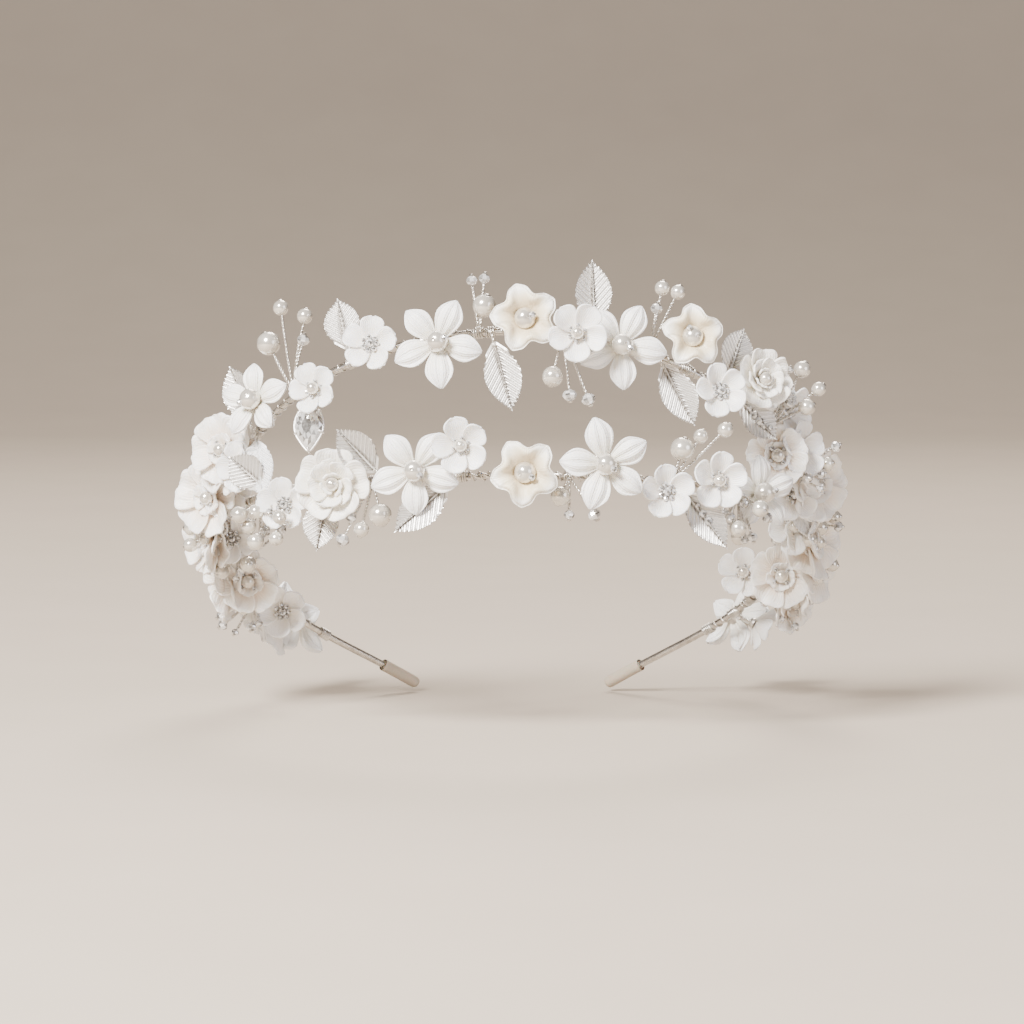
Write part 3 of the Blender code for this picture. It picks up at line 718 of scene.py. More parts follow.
# Each wire's route from the crown's middle, by side: -1 is left and 1 is right
HOOPS = {}
FRONTS = {}
for SIDE in (-1.0, 1.0):
    HOOPS[SIDE], TEMPLE = hoop_route(SIDE)
    FRONTS[SIDE] = front_route(SIDE, HOOPS[SIDE], TEMPLE)


def on_wire(piece):
    """Which side, route, tilt and length along it a trim piece is threaded at."""
    side = math.copysign(1.0, piece.station)
    length = abs(piece.station) * MM
    if piece.wire == "front":
        return side, FRONTS[side], FRONT_TILT, length
    if piece.wire == "arm":
        length = TEMPLE + length
    elif piece.wire == "brow":
        length = TEMPLE - length
    return side, HOOPS[side], HOOP_TILT, length


def threaded(piece):
    """The matrix of a trim piece: z is the way it faces and y is the nearest to up."""
    side, route, tilt, length = on_wire(piece)
    point = route.at(length)
    ahead = Vector((0, -1, 0)) * (1 - abs(piece.turn_out))
    facing = (outward(route.along(length), tilt, side) * piece.turn_out + ahead).normalized()
    up = (Vector((0, 0, 1)) - facing * facing.z).normalized()
    return basis(up.cross(facing), up, facing, point)


def body_of(piece):
    return RIGHT if piece.station > 0 else LEFT


# ---------------------------------------------------------------- petals, modelled once


def read(points, x):
    """A smooth curve through a few (x, value) points."""
    spots = [points[0]] + list(points) + [points[-1]]
    for before, start, end, after in zip(spots, spots[1:], spots[2:], spots[3:]):
        if x <= end[0] or after is end:
            break
    span = end[0] - start[0]
    t = min(max((x - start[0]) / span, 0.0), 1.0)
    rise_in = (end[1] - before[1]) / max(end[0] - before[0], 1e-9) * span
    rise_out = (after[1] - start[1]) / max(after[0] - start[0], 1e-9) * span
    return ((2 * t ** 3 - 3 * t * t + 1) * start[1] + (t ** 3 - 2 * t * t + t) * rise_in
            + (3 * t * t - 2 * t ** 3) * end[1] + (t ** 3 - t * t) * rise_out)


def petal_sheet(name, widths, lifts, section, rows):
    """An open petal of unit length along +x: a grid is given its section across, and then
    each row its width and lift."""
    halves = len(section) - 1
    drop_selection()
    bpy.ops.mesh.primitive_grid_add(x_subdivisions=rows, y_subdivisions=2 * halves, size=1,
                                    location=(0, 0, 0))
    sheet = bpy.context.object
    note(sheet, "across", lambda co: co.y * 2)
    edit()
    for i, height in enumerate(section):
        pick(lambda co: abs(abs(co.y) - 0.5 * i / halves) < 0.001)
        bpy.ops.transform.translate(value=(0, 0, height / 2))
    for i in range(rows, -1, -1):
        share = i / rows
        at = share - 0.5
        along = math.sin(math.pi / 2 * share)
        width = read(widths, along)
        pick(lambda co: abs(co.x - at) < 0.001)
        bpy.ops.transform.resize(value=(1, 2 * width, 2 * width), center_override=(0, 0, 0))
        bpy.ops.transform.translate(value=(along - at, 0, read(lifts, along)))
    sheet = leave()
    sheet.name = name
    note(sheet, "reach", lambda co: co.xy.length)
    return sheet


def ruffled(sheet, waves, depth, from_reach):
    """Press the outer edge up and down in waves."""
    only(sheet)
    edit()
    for way in (1, -1):
        pick(lambda co: co.xy.length > from_reach and way * math.sin(waves * co.y) > 0.35)
        bpy.ops.transform.translate(value=(0, 0, way * depth))
    return leave()


def scalloped(sheet, waves, depth):
    """Draw the tip's edge out into small lobes."""
    only(sheet)
    edit()
    pick(lambda co: co.x > 0.8 and math.cos(waves * co.y) < -0.2)
    bpy.ops.transform.translate(value=(-depth, 0, 0.01))
    return leave()


def trumpet_sheet(name):
    """A five-lobed trumpet in one sheet."""
    # Turn from the lobe's middle, push out, push up and size of the area that goes along: the
    # rim is drawn in and up between two lobes, and a lobe's edge is drawn out and rolled back
    pushes = ((36, -0.20, 0.12, 0.34), (0, 0.08, -0.10, 0.40), (0, 0.05, -0.05, 0.14))
    sheet = turned(name, 60, [(0.05, -0.08), (0.13, -0.10), (0.22, 0.02), (0.30, 0.20), (0.39, 0.36),
                              (0.52, 0.47), (0.66, 0.55), (0.79, 0.59), (0.90, 0.59), (0.97, 0.55)])
    only(sheet)
    edit()
    for lobe in range(5):
        for turn, out, up, size in pushes:
            angle = math.radians(90 + 72 * lobe + turn)
            way = Vector((math.cos(angle), math.sin(angle), 0))
            pick(lambda co: co.xy.length > 0.74 and (co.xy.normalized() - way.xy).length < 0.06
                 and co.z > 0.3)
            bpy.ops.transform.translate(value=(way.x * out, way.y * out, up),
                                        use_proportional_edit=True, proportional_size=size,
                                        proportional_edit_falloff='SMOOTH')
    sheet = leave()
    note(sheet, "reach", lambda co: co.xy.length)
    note(sheet, "across", lambda co: math.sin(2.5 * math.atan2(co.y, co.x)))
    return sheet


def petal_masters():
    jasmine = petal_sheet(
        "jasmine_petal",
        [(0, 0.09), (0.15, 0.16), (0.35, 0.285), (0.55, 0.345), (0.70, 0.325), (0.84, 0.225),
         (0.94, 0.115), (1, 0.02)],
        [(0, 0.0), (0.4, 0.09), (0.75, 0.11), (1, 0.10)],
        [0.34, 0.42, 0.47, 0.40, 0.26, 0.08, 0.26, 0.10], 14)
    blossom = petal_sheet(
        "blossom_petal",
        [(0, 0.10), (0.2, 0.24), (0.45, 0.42), (0.7, 0.48), (0.88, 0.38), (0.97, 0.21), (1, 0.07)],
        [(0, 0.0), (0.35, 0.08), (0.7, 0.26), (1, 0.36)],
        [0.0, 0.01, 0.05, 0.12, 0.22, 0.33, 0.40], 12)
    rose = ruffled(petal_sheet(
        "rose_petal",
        [(0, 0.12), (0.3, 0.40), (0.6, 0.60), (0.82, 0.58), (0.96, 0.38), (1, 0.2)],
        [(0, 0.0), (0.4, 0.12), (0.75, 0.36), (0.92, 0.43), (1, 0.41)],
        [0.0, 0.01, 0.04, 0.09, 0.17, 0.26, 0.34], 12), 13, 0.025, 0.75)
    hydrangea = scalloped(ruffled(petal_sheet(
        "hydrangea_petal",
        [(0, 0.12), (0.3, 0.38), (0.6, 0.58), (0.82, 0.56), (0.95, 0.38), (1, 0.16)],
        [(0, 0.0), (0.4, 0.07), (0.75, 0.20), (1, 0.24)],
        [0.0, 0.02, 0.05, 0.10, 0.15, 0.22, 0.27, 0.30], 12), 11, 0.03, 0.6), 11, 0.035)
    return {"jasmine": jasmine, "blossom": blossom, "rose": rose, "hydrangea": hydrangea,
            "cup": trumpet_sheet("cup_trumpet")}


# Layers of petals: which petal, how many, their size, tilt, turn, rise and roll
Layer = namedtuple("Layer", "petal count size tilt turn rise roll")
LAYERS = {
    "jasmine": [Layer("jasmine", 5, 0.95, 0, 0, 0.0, 5)],
    "blossom": [Layer("blossom", 5, 0.95, 2, 0, 0.0, 9)],
    "cup": [Layer("cup", 1, 1.0, 0, -90, 0.0, 0)],
    "rose": [Layer("rose", 5, 0.97, -7, 0, 0.0, 9), Layer("rose", 5, 0.68, 9, 36, 0.05, 9),
             Layer("rose", 3, 0.40, 30, 10, 0.08, 9)],
    "hydrangea": [Layer("hydrangea", 5, 0.98, -2, 0, 0.0, 10),
                  Layer("hydrangea", 5, 0.44, 14, 36, 0.05, 10)],
}
SHEET_THICKNESS = {"jasmine": 1.1 * MM, "blossom": 0.45 * MM, "cup": 0.65 * MM,
                   "rose": 0.5 * MM, "hydrangea": 0.45 * MM}
HEART_START = 0.06


def petals(piece, masters, face):
    """All of a flower's petals, each a little different, thickened and smoothed."""
    radius = piece.radius * MM
    sheets = []
    for layer in LAYERS[piece.kind]:
        loose = layer.count > 1

        def waver(low, high):
            return chance.uniform(low, high) if loose else 0

        for k in range(layer.count):
            size = layer.size * radius * (1 + waver(-0.05, 0.03))
            tilt = math.radians(layer.tilt + waver(-4, 5))
            turn = math.radians(90 + piece.spin + layer.turn + 360 * k / layer.count
                                + waver(-3, 3))
            start = HEART_START * radius if loose else 0.0
            place = (Matrix.Rotation(turn, 4, 'Z')
                     @ Matrix.Translation((start, 0, layer.rise * radius))
                     @ Matrix.Rotation(-tilt, 4, 'Y')
                     @ Matrix.Rotation(math.radians(layer.roll), 4, 'X')
                     @ Matrix.Scale(size, 4))
            sheets.append(copy_of(masters[layer.petal], place))
    made = joined(piece.name + "_petals", sheets)
    applied(made, 'SOLIDIFY', thickness=SHEET_THICKNESS[piece.kind], offset=-1.0)
    applied(made, 'SUBSURF', levels=1, render_levels=1)
    made.data.transform(face)
    material, slot_name = PETAL_LOOKS[piece.kind]
    look(smoothed(made, 60), material)
    return made


# ---------------------------------------------------------------- beads and hearts


def pearl_master():
    """A pearl of unit radius, drilled through: its two mouths are chamfered and sunk."""
    drop_selection()
    bpy.ops.mesh.primitive_uv_sphere_add(segments=28, ring_count=16, radius=1, location=(0, 0, 0))
    edit()
    for end in (1, -1):
        pick(lambda co: co.z * end > 0.93)
        bpy.ops.mesh.delete(type='FACE')
    for end in (1, -1):
        pick(lambda co: co.z * end > 0.91)
        bpy.ops.mesh.extrude_region_move(TRANSFORM_OT_translate={"value": (0, 0, end * 0.03)})
        bpy.ops.transform.resize(value=(0.55, 0.55, 1), center_override=(0, 0, 0))
        bpy.ops.mesh.extrude_region_move(TRANSFORM_OT_translate={"value": (0, 0, -end * 0.12)})
        bpy.ops.mesh.extrude_region_move(TRANSFORM_OT_translate={"value": (0, 0, 0)})
        bpy.ops.mesh.merge(type='CENTER')
    bpy.ops.mesh.select_all(action='SELECT')
    bpy.ops.mesh.normals_make_consistent(inside=False)
    made = leave()
    made.name = "pearl_bead"
    look(made, PEARL)
    return smoothed(made, 50)


def crystal_master():
    """A cut bead of unit radius: a girdle, two belts of facets and flat ends."""
    made = turned("crystal_bead", 9, [(0.34, -0.80), (0.78, -0.52), (1.0, -0.12), (1.0, 0.12),
                                      (0.78, 0.52), (0.34, 0.80), (0, 0.80)])
    note_facet_reflections(made)
    look(made, CRYSTAL)
    return made


def cap_master():
    """A little bead cap with a flared lip, which holds a flower or a bead from behind."""
    made = turned("bead_cap", 14, [(0.30, 0.0), (0.55, 0.06), (0.85, 0.28), (1.0, 0.55),
                                   (1.06, 0.60), (1.0, 0.64), (0.80, 0.42), (0.5, 0.22), (0, 0.18)])
    look(made, FINE_WIRE)
    return smoothed(made, 50)


def bead(master, spot, radius, axis=Vector((0, 0, 1))):
    return copy_of(master, Matrix.Translation(spot) @ turned_to(axis) @ Matrix.Scale(radius, 4))


def tilt_axis(spread=0.6):
    return Vector((chance.uniform(-spread, spread), chance.uniform(-spread, spread), 1)).normalized()


def heart(piece, beads, face, index):
    """What fills a flower's middle: a pearl with one crystal on it, a cluster of crystals or
    a small pearl with or without crystals round it. Blossoms take turns by their index."""
    parts = []
    place = face.to_3x3()

    def put(kind, x, y, z, radius):
        axis = place @ tilt_axis()
        parts.append(bead(beads[kind], face @ Vector((x, y, z)), radius, axis))

    def ring(count, reach, height, size, start=0.0):
        for k in range(count):
            angle = 2 * math.pi * k / count + start
            put("crystal", reach * math.cos(angle), reach * math.sin(angle), height, size)

    radius = piece.radius * MM
    if piece.kind in ("jasmine", "cup"):
        deep = 0.10 * radius if piece.kind == "cup" else 0.04 * radius
        put("pearl", 0, 0, deep + PEARL_RADIUS * 0.85, PEARL_RADIUS * 0.97)
        ring(1, PEARL_RADIUS * 0.72, deep + PEARL_RADIUS * 1.62, SEED_RADIUS,
             chance.choice((-0.6, 0.3, -2.4, 2.2)))
    elif piece.kind == "blossom" and index % 2:
        put("crystal", 0, 0, 1.5 * MM, 1.05 * MM)
        ring(7, 1.65 * MM, 1.15 * MM, 0.66 * MM)
    elif piece.kind == "blossom":
        put("pearl", 0, 0, 1.8 * MM, SMALL_PEARL_RADIUS * 0.9)
        ring(6, 1.9 * MM, 1.1 * MM, 0.5 * MM, 0.4)
    elif piece.kind == "rose":
        put("pearl", 0, 0, 2.6 * MM, SMALL_PEARL_RADIUS)
    else:
        put("pearl", 0, 0, 2.0 * MM, SMALL_PEARL_RADIUS)
        ring(4, 2.2 * MM, 1.7 * MM, 0.62 * MM, 0.7)
    made = joined(piece.name + "_heart", parts)
    return made


# ---------------------------------------------------------------- wound and twisted wire


def round_wire(point, along, across, angle, reach):
    """The spot at this angle round a wire and this far from its middle."""
    return (point + across * reach * math.cos(angle)
            + along.cross(across) * reach * math.sin(angle))


def coil_lines(route, tilt, side, middle, turns, pitch, ring_radius):
    """The points of a wire wound round a frame wire."""
    points = []
    per_turn = 14
    count = int(turns * per_turn)
    for step in range(count + 1):
        length = middle + (step / per_turn - turns / 2) * pitch
        along = route.along(length)
        points.append(round_wire(route.at(length), along, outward(along, tilt, side),
                                 2 * math.pi * step / per_turn, ring_radius))
    return points


def twisted_lines(path, radius, pitch, phase=0.0):
    """Two wires twisted about a path."""
    route = Route(path)
    axis = (path[-1] - path[0]).normalized()
    first = axis.orthogonal().normalized()
    second = axis.cross(first)
    count = max(int(route.total / pitch * 9), 6)
    lines = []
    for strand in (0.0, math.pi):
        points = []
        for step in range(count + 1):
            length = route.total * step / count
            angle = 2 * math.pi * length / pitch + strand + phase
            points.append(route.at(length) + (first * math.cos(angle) + second * math.sin(angle))
                          * radius)
        lines.append(points)
    return lines


def bowed(start, end, bow=Vector((0, 0, 0)), count=8):
    """A path from start to end that bows sideways, or runs straight without a bow."""
    points = []
    for step in range(count + 1):
        t = step / count
        points.append(start.lerp(end, t) + bow * 4 * t * (1 - t))
    return points


def nearest_rim(piece, target):
    """The point of the frame wire's skin that faces the target, at the piece's station."""
    _, route, _, length = on_wire(piece)
    point = route.at(length)
    along = route.along(length)
    reach = target - point
    reach -= along * reach.dot(along)
    return point + reach.normalized() * (WIRE_RADIUS + COIL_WIRE)


def tied(piece, lines, radius, turns):
    """Twisted wires, and the coil that ties them to the frame wire."""
    side, route, tilt, length = on_wire(piece)
    wound = coil_lines(route, tilt, side, length, turns, 2 * COIL_WIRE, WIRE_RADIUS + COIL_WIRE)
    return [drawn_wire("twist", lines, radius, FINE_WIRE),
            drawn_wire("coil", [wound], COIL_WIRE, FINE_WIRE)]


def stem(piece, beads, face):
    """The coil on the frame wire, the twisted stem and the cap behind the petals."""
    radius = piece.radius * MM
    back = face @ Vector((0, 0, -0.5 * MM))
    start = nearest_rim(piece, back)
    bow = face.to_3x3() @ Vector((chance.uniform(-0.5, 0.5), chance.uniform(-0.5, 0.5), 0)) * MM
    lines = twisted_lines(bowed(start, back, bow), STEM_TWIST, TWIST_PITCH)
    parts = tied(piece, lines, STEM_WIRE, 5)
    parts.append(copy_of(beads["cap"], face @ Matrix.Translation((0, 0, -CAP_DEPTH))
                         @ Matrix.Scale(CAP_SHARE * radius, 4)))
    made = joined(piece.name + "_stem", parts)
    return made


def build_flowers(masters, beads):
    for index, piece in enumerate(FLOWERS + EXTRA_FLOWERS):
        face = threaded(piece) @ Matrix.Translation((0, piece.rise * MM, piece.out * MM))
        body = body_of(piece)
        shell = petals(piece, masters, face)
        if piece in FLOWERS:
            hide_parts(piece.name)
        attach(shell, body)
        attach(heart(piece, beads, face, index), body)
        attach(stem(piece, beads, face), body)


# ---------------------------------------------------------------- leaves


def leaf_master():
    """A stamped leaf of unit length and unit half width. One half is drawn with its side ribs
    square to the midrib, then drawn forward to the tip, folded up a little and mirrored."""
    rows = 80
    # The heights across a rib, the hollow after it and a finer rib between two of them
    profile = (0.045, 0.005, -0.02, -0.012, 0.014, -0.012, -0.02, 0.005)
    midrib_height = 0.17
    ribs_sweep = 0.30
    fold = 0.2
    drop_selection()
    bpy.ops.mesh.primitive_grid_add(x_subdivisions=rows, y_subdivisions=8, size=1,
                                    location=(0, 0, 0))
    edit()
    bpy.ops.mesh.select_all(action='SELECT')
    bpy.ops.transform.translate(value=(0.5, 0.5, 0))
    for i in range(rows + 1):
        pick(lambda co: abs(co.x - i / rows) < 0.001 and co.y > 0.01)
        bpy.ops.transform.translate(value=(0, 0, profile[i % len(profile)]))
    pick(lambda co: co.y < 0.01)
    bpy.ops.transform.translate(value=(0, 0, midrib_height))
    # A groove runs close beside the midrib
    pick(lambda co: 0.10 < co.y < 0.15)
    bpy.ops.transform.translate(value=(0, -0.045, -0.05))
    sheet = leave()
    # The lower a point lies, the darker it is painted: shade and tarnish in the hollows.
    note(sheet, "shade_and_tarnish", lambda co: min(max(0.4 - co.z * 22.0, 0.0), 1.0))
    edit()
    widths = [(0, 0.58), (0.05, 0.80), (0.18, 1.0), (0.43, 0.86), (0.69, 0.52), (0.89, 0.20),
              (1, 0.03)]
    for i in range(rows, -1, -1):
        share = i / rows
        tooth = 1.0 + 0.06 * (1 - (i % len(profile)) / len(profile))
        pick(lambda co: abs(co.x - share) < 0.001)
        bpy.ops.transform.resize(value=(1, read(widths, share) * tooth, 1),
                                 center_override=(0, 0, 0))
    half = leave()
    half.data.transform(Matrix(((1, ribs_sweep, 0, 0), (0, 1, 0, 0), (0, fold, 1, 0),
                                (0, 0, 0, 1))))
    applied(half, 'MIRROR', use_axis=(False, True, False), merge_threshold=0.001)
    edit()
    bpy.ops.mesh.select_all(action='SELECT')
    bpy.ops.mesh.remove_doubles(threshold=0.0005)
    bpy.ops.mesh.normals_make_consistent(inside=False)
    half = leave()
    half.name = "stamped_leaf"
    applied(half, 'SOLIDIFY', thickness=0.05, offset=-1.0)
    look(smoothed(half, 60), LEAF_SILVER)
    return half


def leaf_base(piece):
    return threaded(piece) @ Matrix.Translation((0, 0, STALK)) @ Matrix.Rotation(
        math.radians(piece.aim), 4, 'Z')


def stalk(piece, base, reach):
    """The coil on the frame wire and the twisted stalk that runs up under the blade."""
    foot = nearest_rim(piece, base.translation)
    path = bowed(foot, base.translation, count=3)[:-1] + [
        base @ Vector((reach * t, 0, -0.35 * MM * t)) for t in (0.0, 0.25, 0.5, 0.75, 1.0)]
    lines = twisted_lines(path, STALK_TWIST, TWIST_PITCH)
    made = joined(piece.name + "_stalk", tied(piece, lines, STALK_WIRE, 4))
    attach(made, body_of(piece))


def pointed(angle):
    """How much longer and narrower a leaf-shaped stone is than an oval one, this way."""
    tip = max(math.cos(angle), 0.0) ** 3
    base = max(-math.cos(angle), 0.0) ** 3
    return 1 + STONE_TIP * tip, 1 - 0.35 * tip + 0.08 * base


def stone_rim(angle):
    """The leaf-shaped stone's outline, this way from its middle."""
    longer, narrower = pointed(angle)
    return Vector((CRYSTAL_LENGTH / (2 + STONE_TIP) * longer * math.cos(angle),
                   CRYSTAL_HALF_WIDTH * narrower * math.sin(angle), 0))


def cut_stone():
    """A leaf-shaped stone along +x: a flat table, a crown, a girdle and a deep back."""
    made = turned("leaf_stone", 14, [(0.30, -1.0), (0.72, -0.55), (1.0, -0.08), (1.0, 0.10),
                                     (0.84, 0.52), (0.60, 0.80), (0.36, 0.92), (0, 0.92)])
    only(made)
    edit()
    for low, high, turn in ((0.3, 0.6, 13), (0.7, 0.85, 0), (0.85, 1.0, 13)):
        pick(lambda co: low < co.z < high)
        bpy.ops.transform.rotate(value=math.radians(turn), orient_axis='Z',
                                 center_override=(0, 0, 0))
    bpy.ops.mesh.select_all(action='SELECT')
    bpy.ops.mesh.quads_convert_to_tris()
    for k in range(28):
        angle = math.pi * k / 14
        way = Vector((math.cos(angle), math.sin(angle)))
        longer, narrower = pointed(angle)
        pick(lambda co: co.xy.length > 0.01 and (co.xy.normalized() - way).length < 0.03)
        bpy.ops.transform.resize(value=(longer, narrower, 1), center_override=(0, 0, 0))
    bpy.ops.mesh.select_all(action='SELECT')
    bpy.ops.transform.resize(value=(CRYSTAL_LENGTH / (2 + STONE_TIP), CRYSTAL_HALF_WIDTH,
                                    CRYSTAL_THICKNESS / 2), center_override=(0, 0, 0))
    made = leave()
    note_facet_reflections(made)
    look(made, CRYSTAL)
    return made


def crystal_leaf(piece, base):
    """A large leaf-shaped stone in a wire bezel with five claws; also how far along the leaf
    its stalk has to reach."""
    middle = piece.length * MM - CRYSTAL_LENGTH * 0.54
    stone = cut_stone()
    lines = [[stone_rim(2 * math.pi * step / 24) * 1.05 - Vector((0, 0, 0.1 * MM))
              for step in range(25)]]
    for angle in STONE_CLAWS:
        across = stone_rim(angle)
        lines.append([across * 1.1 - Vector((0, 0, 0.8 * MM)), across * 1.08,
                      across * 0.9 + Vector((0, 0, 0.9 * MM))])
    bezel = drawn_wire("bezel", lines, BEZEL_WIRE, LEAF_SILVER, 2)
    made = joined(piece.name + "_stone", [stone, bezel])
    made.data.transform(base @ Matrix.Translation((middle, 0, 0)))
    return made, middle - CRYSTAL_LENGTH * 0.45


def set_stones(beads, base, length):
    """Small crystals glued along a leaf's midrib, largest in the middle."""
    stones = []
    for share, size in LEAF_CRYSTALS:
        spot = base @ Vector((share * length, chance.uniform(-0.7, 0.7) * MM, 1.0 * MM))
        stones.append(bead(beads["crystal"], spot, size * MM, base.to_3x3() @ tilt_axis(0.4)))
    return stones


def build_leaves(beads):
    master = leaf_master()
    for piece in LEAVES + EXTRA_LEAVES:
        base = leaf_base(piece)
        if piece.name.endswith("crystal_leaf"):
            made, reach = crystal_leaf(piece, base)
        else:
            length = piece.length * MM - LEAF_START
            pitch = math.radians(chance.uniform(-3, 9))
            roll = math.radians(chance.uniform(-10, 10))
            made = copy_of(master, base @ Matrix.Translation((LEAF_START, 0, 0))
                           @ Matrix.Rotation(-pitch, 4, 'Y') @ Matrix.Rotation(roll, 4, 'X')
                           @ Matrix.Diagonal((length, LEAF_HALF_WIDTH, LEAF_HALF_WIDTH * 0.9, 1)))
            if piece.name in STONE_SET_LEAVES:
                made = joined(piece.name, [made] + set_stones(beads, base, piece.length * MM))
            made.name = piece.name + "_blade"
            if piece in EXTRA_LEAVES:
                note(made, "reach", lambda co: 0.9)
                note(made, "across", lambda co: 0.0)
                look(made, FROSTED_RESIN)
            reach = LEAF_START + length * 0.3
        if piece in LEAVES:
            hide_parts(piece.name)
        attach(made, body_of(piece))
        stalk(piece, base, reach)
    bpy.data.objects.remove(master, do_unlink=True)


# ---------------------------------------------------------------- beaded sprigs


def sprig(piece, beads, replaces=True):
    """Beads on twisted branches that fork from one coil."""
    place = threaded(piece)
    fork = place @ Vector((0, 0, STALK))
    lines = twisted_lines(bowed(nearest_rim(piece, fork), fork, count=3), STALK_TWIST,
                          TWIST_PITCH)
    parts = []
    for right, up, out, radius in piece.beads:
        spot = place @ Vector((right * MM, up * MM, out * MM + STALK))
        axis = (spot - fork).normalized()
        bow = place.to_3x3() @ Vector((0, 0, 1)) * MM * chance.uniform(0.3, 1.0)
        path = bowed(fork, spot - axis * radius * MM * 0.9, bow)
        lines += twisted_lines(path, TWIST_WIRE, TWIST_PITCH, chance.uniform(0, 3))
        kind = "pearl" if radius > PEARL_FROM else "crystal"
        parts.append(bead(beads[kind], spot, radius * MM, axis))
        parts.append(copy_of(beads["cap"], Matrix.Translation(spot + axis * radius * MM * 0.98)
                             @ turned_to(-axis) @ Matrix.Translation((0, 0, -0.25 * MM))
                             @ Matrix.Scale(BEAD_CAP_SHARE * radius * MM, 4)))
    wires = joined(piece.name + "_wires", tied(piece, lines, TWIST_WIRE, 4))
    string = joined(piece.name + "_beads", parts)
    if replaces:
        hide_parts(piece.name)
    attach(wires, body_of(piece))
    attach(string, body_of(piece))


def spray(piece, beads):
    """A fan of seed pearls and small crystals that fills a gap between the flowers."""
    spots = []
    for k in range(piece.count):
        angle = 2 * math.pi * (k + chance.uniform(-0.3, 0.3)) / piece.count
        reach = piece.spread * chance.uniform(0.45, 1.0)
        spots.append((piece.right + reach * math.cos(angle), piece.up + reach * math.sin(angle),
                      chance.uniform(*SPRAY_OUT), chance.choice(SPRAY_BEADS)))
    sprig(Sprig(piece.name, piece.wire, piece.station, piece.turn_out, spots), beads, False)


# ---------------------------------------------------------------- the frame


def whole_wire(routes, spacing):
    """A frame wire's points from the left end through the middle to the right end."""
    count = int(routes[1.0].total / spacing)
    left, right = ([routes[side].at(routes[side].total * step / count)
                    for step in range(count + 1)] for side in (-1.0, 1.0))
    return left[:0:-1] + right


def wrap_lines(routes, tilt, last, pitch, phase, reach=WIRE_RADIUS + WRAP_WIRE * 0.9):
    """A fine wire that spirals round a frame wire, through the middle and as far as the last
    length on both sides."""
    per_turn = 10
    count = int(2 * last / pitch * per_turn)
    points = []
    for step in range(count + 1):
        station = 2 * last * step / count - last
        side = 1.0 if station >= 0 else -1.0
        route = routes[side]
        along = route.along(max(abs(station), 0.6 * MM)) * side
        points.append(round_wire(route.at(abs(station)), along, outward(along, tilt, 1.0),
                                 2 * math.pi * station / pitch + phase, reach))
    return points


def twisted_along(routes, tilt, reach, pitch):
    """Two wires twisted together along a frame wire's whole route."""
    last = routes[1.0].total
    return [wrap_lines(routes, tilt, last, pitch, phase, reach) for phase in (0, math.pi)]


def long_wire(name, routes, lines, radius, material, roundness=1, nodes=()):
    """A wire that runs from one side to the other, through the middle."""
    made = drawn_wire(name, lines, radius, material, roundness)
    if nodes:
        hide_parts(*nodes)
    middle = routes[1.0].at(0)
    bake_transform(made)


def build_frame():
    long_wire("hoop_rod", HOOPS, [whole_wire(HOOPS, 1.5 * MM)], WIRE_RADIUS, HOOP_WIRE, 4,
              ("hoop_left", "hoop_right"))
    strands = twisted_along(FRONTS, FRONT_TILT, STRAND_TWIST, STRAND_PITCH)
    long_wire("front_arch_twist", FRONTS, strands, STRAND_WIRE, HOOP_WIRE, 3,
              ("front_arch_left", "front_arch_right"))
    last = TEMPLE + HOOP_WRAP_PAST_TEMPLE
    lines = [wrap_lines(HOOPS, HOOP_TILT, last, HOOP_WRAP_PITCH, 0.0)]
    long_wire("hoop_wrap", HOOPS, lines, WRAP_WIRE, FINE_WIRE)
    last = FRONTS[1.0].total - FRONT_WRAP_STOPS
    lines = [wrap_lines(FRONTS, FRONT_TILT, last, FRONT_WRAP_PITCH, 1.0)]
    long_wire("front_arch_wrap", FRONTS, lines, WRAP_WIRE, FINE_WIRE)
    for side, word, body in ((-1.0, "left", LEFT), (1.0, "right", RIGHT)):
        made = binding(word, side)
        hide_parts("arch_binding_" + word)
        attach(made, body)
        made = sleeve(word, side)
        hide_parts("tip_sleeve_" + word)
        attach(made, body)


def binding(word, side):
    """Wire wound tight round the two wires together, ten turns side by side."""
    route = HOOPS[side]
    apart = 2 * WIRE_RADIUS + FIT_GAP
    reach = WIRE_RADIUS + COIL_WIRE
    middle = TEMPLE + BIND_START + BIND_LENGTH / 2
    turns = 10
    per_turn = 20
    points = []
    for step in range(turns * per_turn + 1):
        length = middle + (step / (turns * per_turn) - 0.5) * (BIND_RING_LENGTH + 1 * MM)
        along = route.along(length)
        across = outward(along, HOOP_TILT, side)
        angle = 2 * math.pi * step / per_turn
        centre = 0.0 if math.cos(angle) > 0 else -apart
        points.append(round_wire(route.at(length) + across * centre, along, across, angle, reach))
    made = drawn_wire("arch_binding_wire_" + word, [points], COIL_WIRE, FINE_WIRE, 2)
    return made


def sleeve(word, side):
    """The moulded sleeve on a bare tip: a rounded end, a soft bead round its mouth."""
    route = HOOPS[side]
    tip = route.at(route.total)
    mouth = route.at(route.total - SLEEVE_LENGTH)
    axis = (tip - mouth).normalized()
    inner = WIRE_RADIUS + 0.03 * MM
    outer = WIRE_RADIUS + FIT_GAP + SLEEVE_WALL
    lip = outer + 0.05 * MM
    top = SLEEVE_LENGTH + FIT_GAP + SLEEVE_END
    made = turned("tip_sleeve_moulding_" + word, 28, [
        (inner, 1.2 * MM), (inner, 0.1 * MM), (inner + 0.1 * MM, 0), (outer, 0.0),
        (lip, 0.25 * MM), (lip, 0.8 * MM), (outer, 1.1 * MM),
        (outer, top - 1.3 * MM), (outer * 0.93, top - 0.7 * MM), (outer * 0.72, top - 0.25 * MM),
        (outer * 0.4, top - 0.05 * MM), (0, top)], closed_start=False)
    made.data.transform(Matrix.Translation(mouth) @ turned_to(axis))
    look(smoothed(made, 50), SLEEVE_NYLON)
    return made


# ---------------------------------------------------------------- build the crown

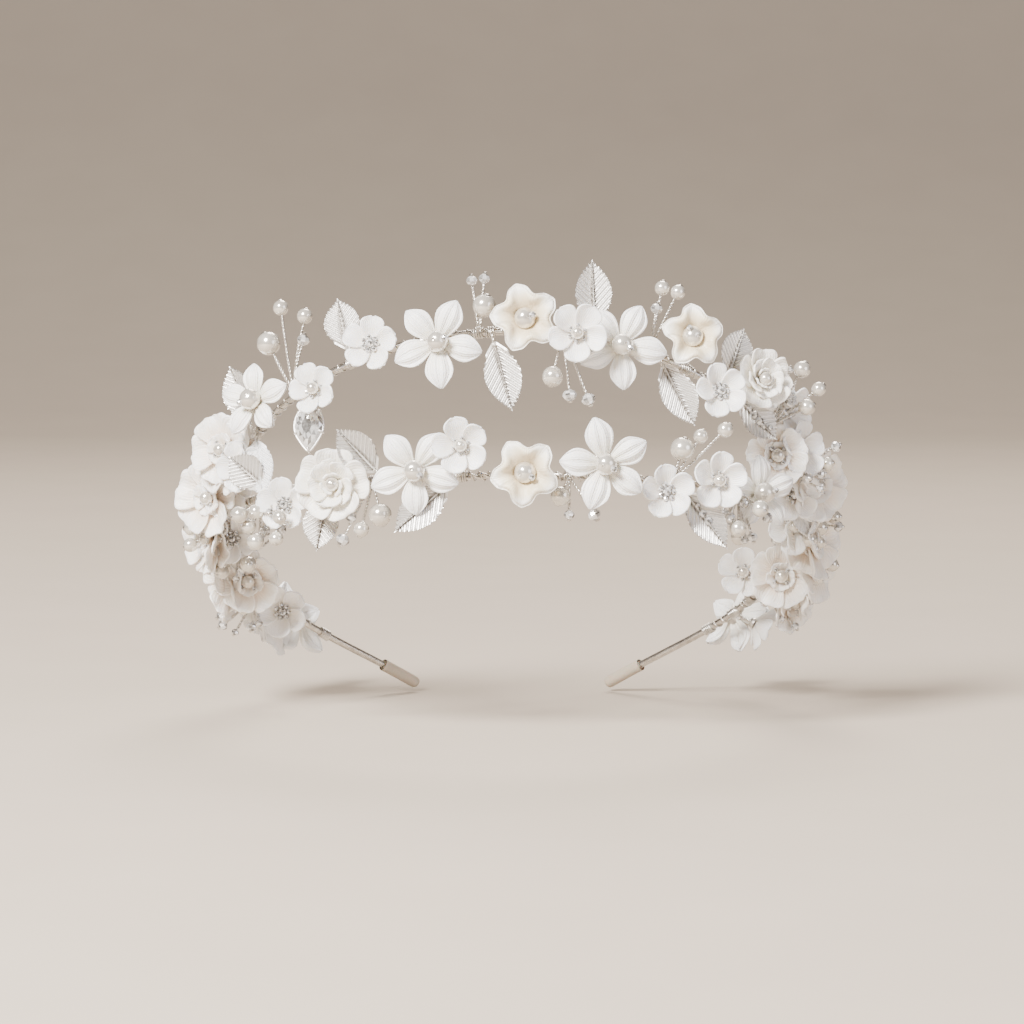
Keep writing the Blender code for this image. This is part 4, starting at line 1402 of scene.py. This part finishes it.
drop_selection()
build_frame()
MASTERS = petal_masters()
BEADS = {"pearl": pearl_master(), "crystal": crystal_master(), "cap": cap_master()}
build_flowers(MASTERS, BEADS)
build_leaves(BEADS)
for piece in SPRIGS:
    sprig(piece, BEADS)
for piece in SPRAYS:
    spray(piece, BEADS)
for master in list(MASTERS.values()) + list(BEADS.values()):
    bpy.data.objects.remove(master, do_unlink=True)


# ---------------------------------------------------------------- floor, light and camera

LENS_LENGTH = 131.8
LENS_SHIFT = -0.0244
CAMERA_SPOT = (0.0, -942.2 * MM, 80.6 * MM)
CAMERA_LOOKS_DOWN = math.radians(4.5)


def floor():
    """A plain pale table top under the crown's lowest point, turned up behind it."""
    drop_selection()
    bpy.ops.mesh.primitive_plane_add(size=4, location=(0, 0, 0))
    edit()
    bpy.ops.transform.translate(value=(0, 0, cad_box[0][2] - 1 * MM))
    pick(lambda co: co.y > 1)
    bpy.ops.mesh.extrude_region_move(TRANSFORM_OT_translate={"value": (0, 0.3, 2.5)})
    made = leave()
    made.name = "pale_floor"
    applied(made, 'BEVEL', width=0.9, segments=12, affect='EDGES')
    smoothed(made)
    material, tree, shader, place = blank("pale_matt_paint", Roughness=0.8)
    cloud = add(tree, "ShaderNodeTexNoise", {"Scale": per_mm(40.0)}, {"Vector": place})
    tint = add(tree, "ShaderNodeValToRGB", links={"Fac": cloud.outputs["Fac"]},
               stops=[(0.0, "#B3A799"), (1.0, "#B9AD9F")])
    feed(tree, shader, Base_Color=tint.outputs["Color"])
    look(made, material)


def soft_box(name, spot, size, power, colour):
    light = bpy.data.lights.new(name, 'AREA')
    light.shape = 'DISK'
    light.size = size
    light.energy = power
    light.color = linear(colour)[:3]
    lamp = bpy.data.objects.new(name, light)
    bpy.context.collection.objects.link(lamp)
    lamp.location = spot
    lamp.rotation_euler = (Vector((0, 0, 0)) - Vector(spot)).to_track_quat('-Z', 'Y').to_euler()


def lighting():
    soft_box("key", (-0.55, -0.85, 0.75), 0.4, 66.0, "#FFFBF6")
    soft_box("fill", (0.9, -0.7, 0.3), 0.7, 5.0, "#F8F6FF")
    soft_box("top_back", (0.1, 0.7, 0.9), 0.6, 14.0, "#FFF4E8")
    world = bpy.data.worlds.new("pale_room")
    bpy.context.scene.world = world
    world.use_nodes = True
    sky = world.node_tree.nodes["Background"]
    sky.inputs["Color"].default_value = linear("#B7ACA3")
    sky.inputs["Strength"].default_value = 0.55


def camera():
    lens = bpy.data.cameras.new("front_view")
    lens.lens = LENS_LENGTH
    lens.sensor_width = 36.0
    lens.shift_y = LENS_SHIFT
    lens.clip_start = 0.01
    viewer = bpy.data.objects.new("front_view", lens)
    bpy.context.collection.objects.link(viewer)
    viewer.location = CAMERA_SPOT
    viewer.rotation_euler = (math.radians(90) - CAMERA_LOOKS_DOWN, 0, 0)
    bpy.context.scene.camera = viewer


floor()
lighting()
camera()
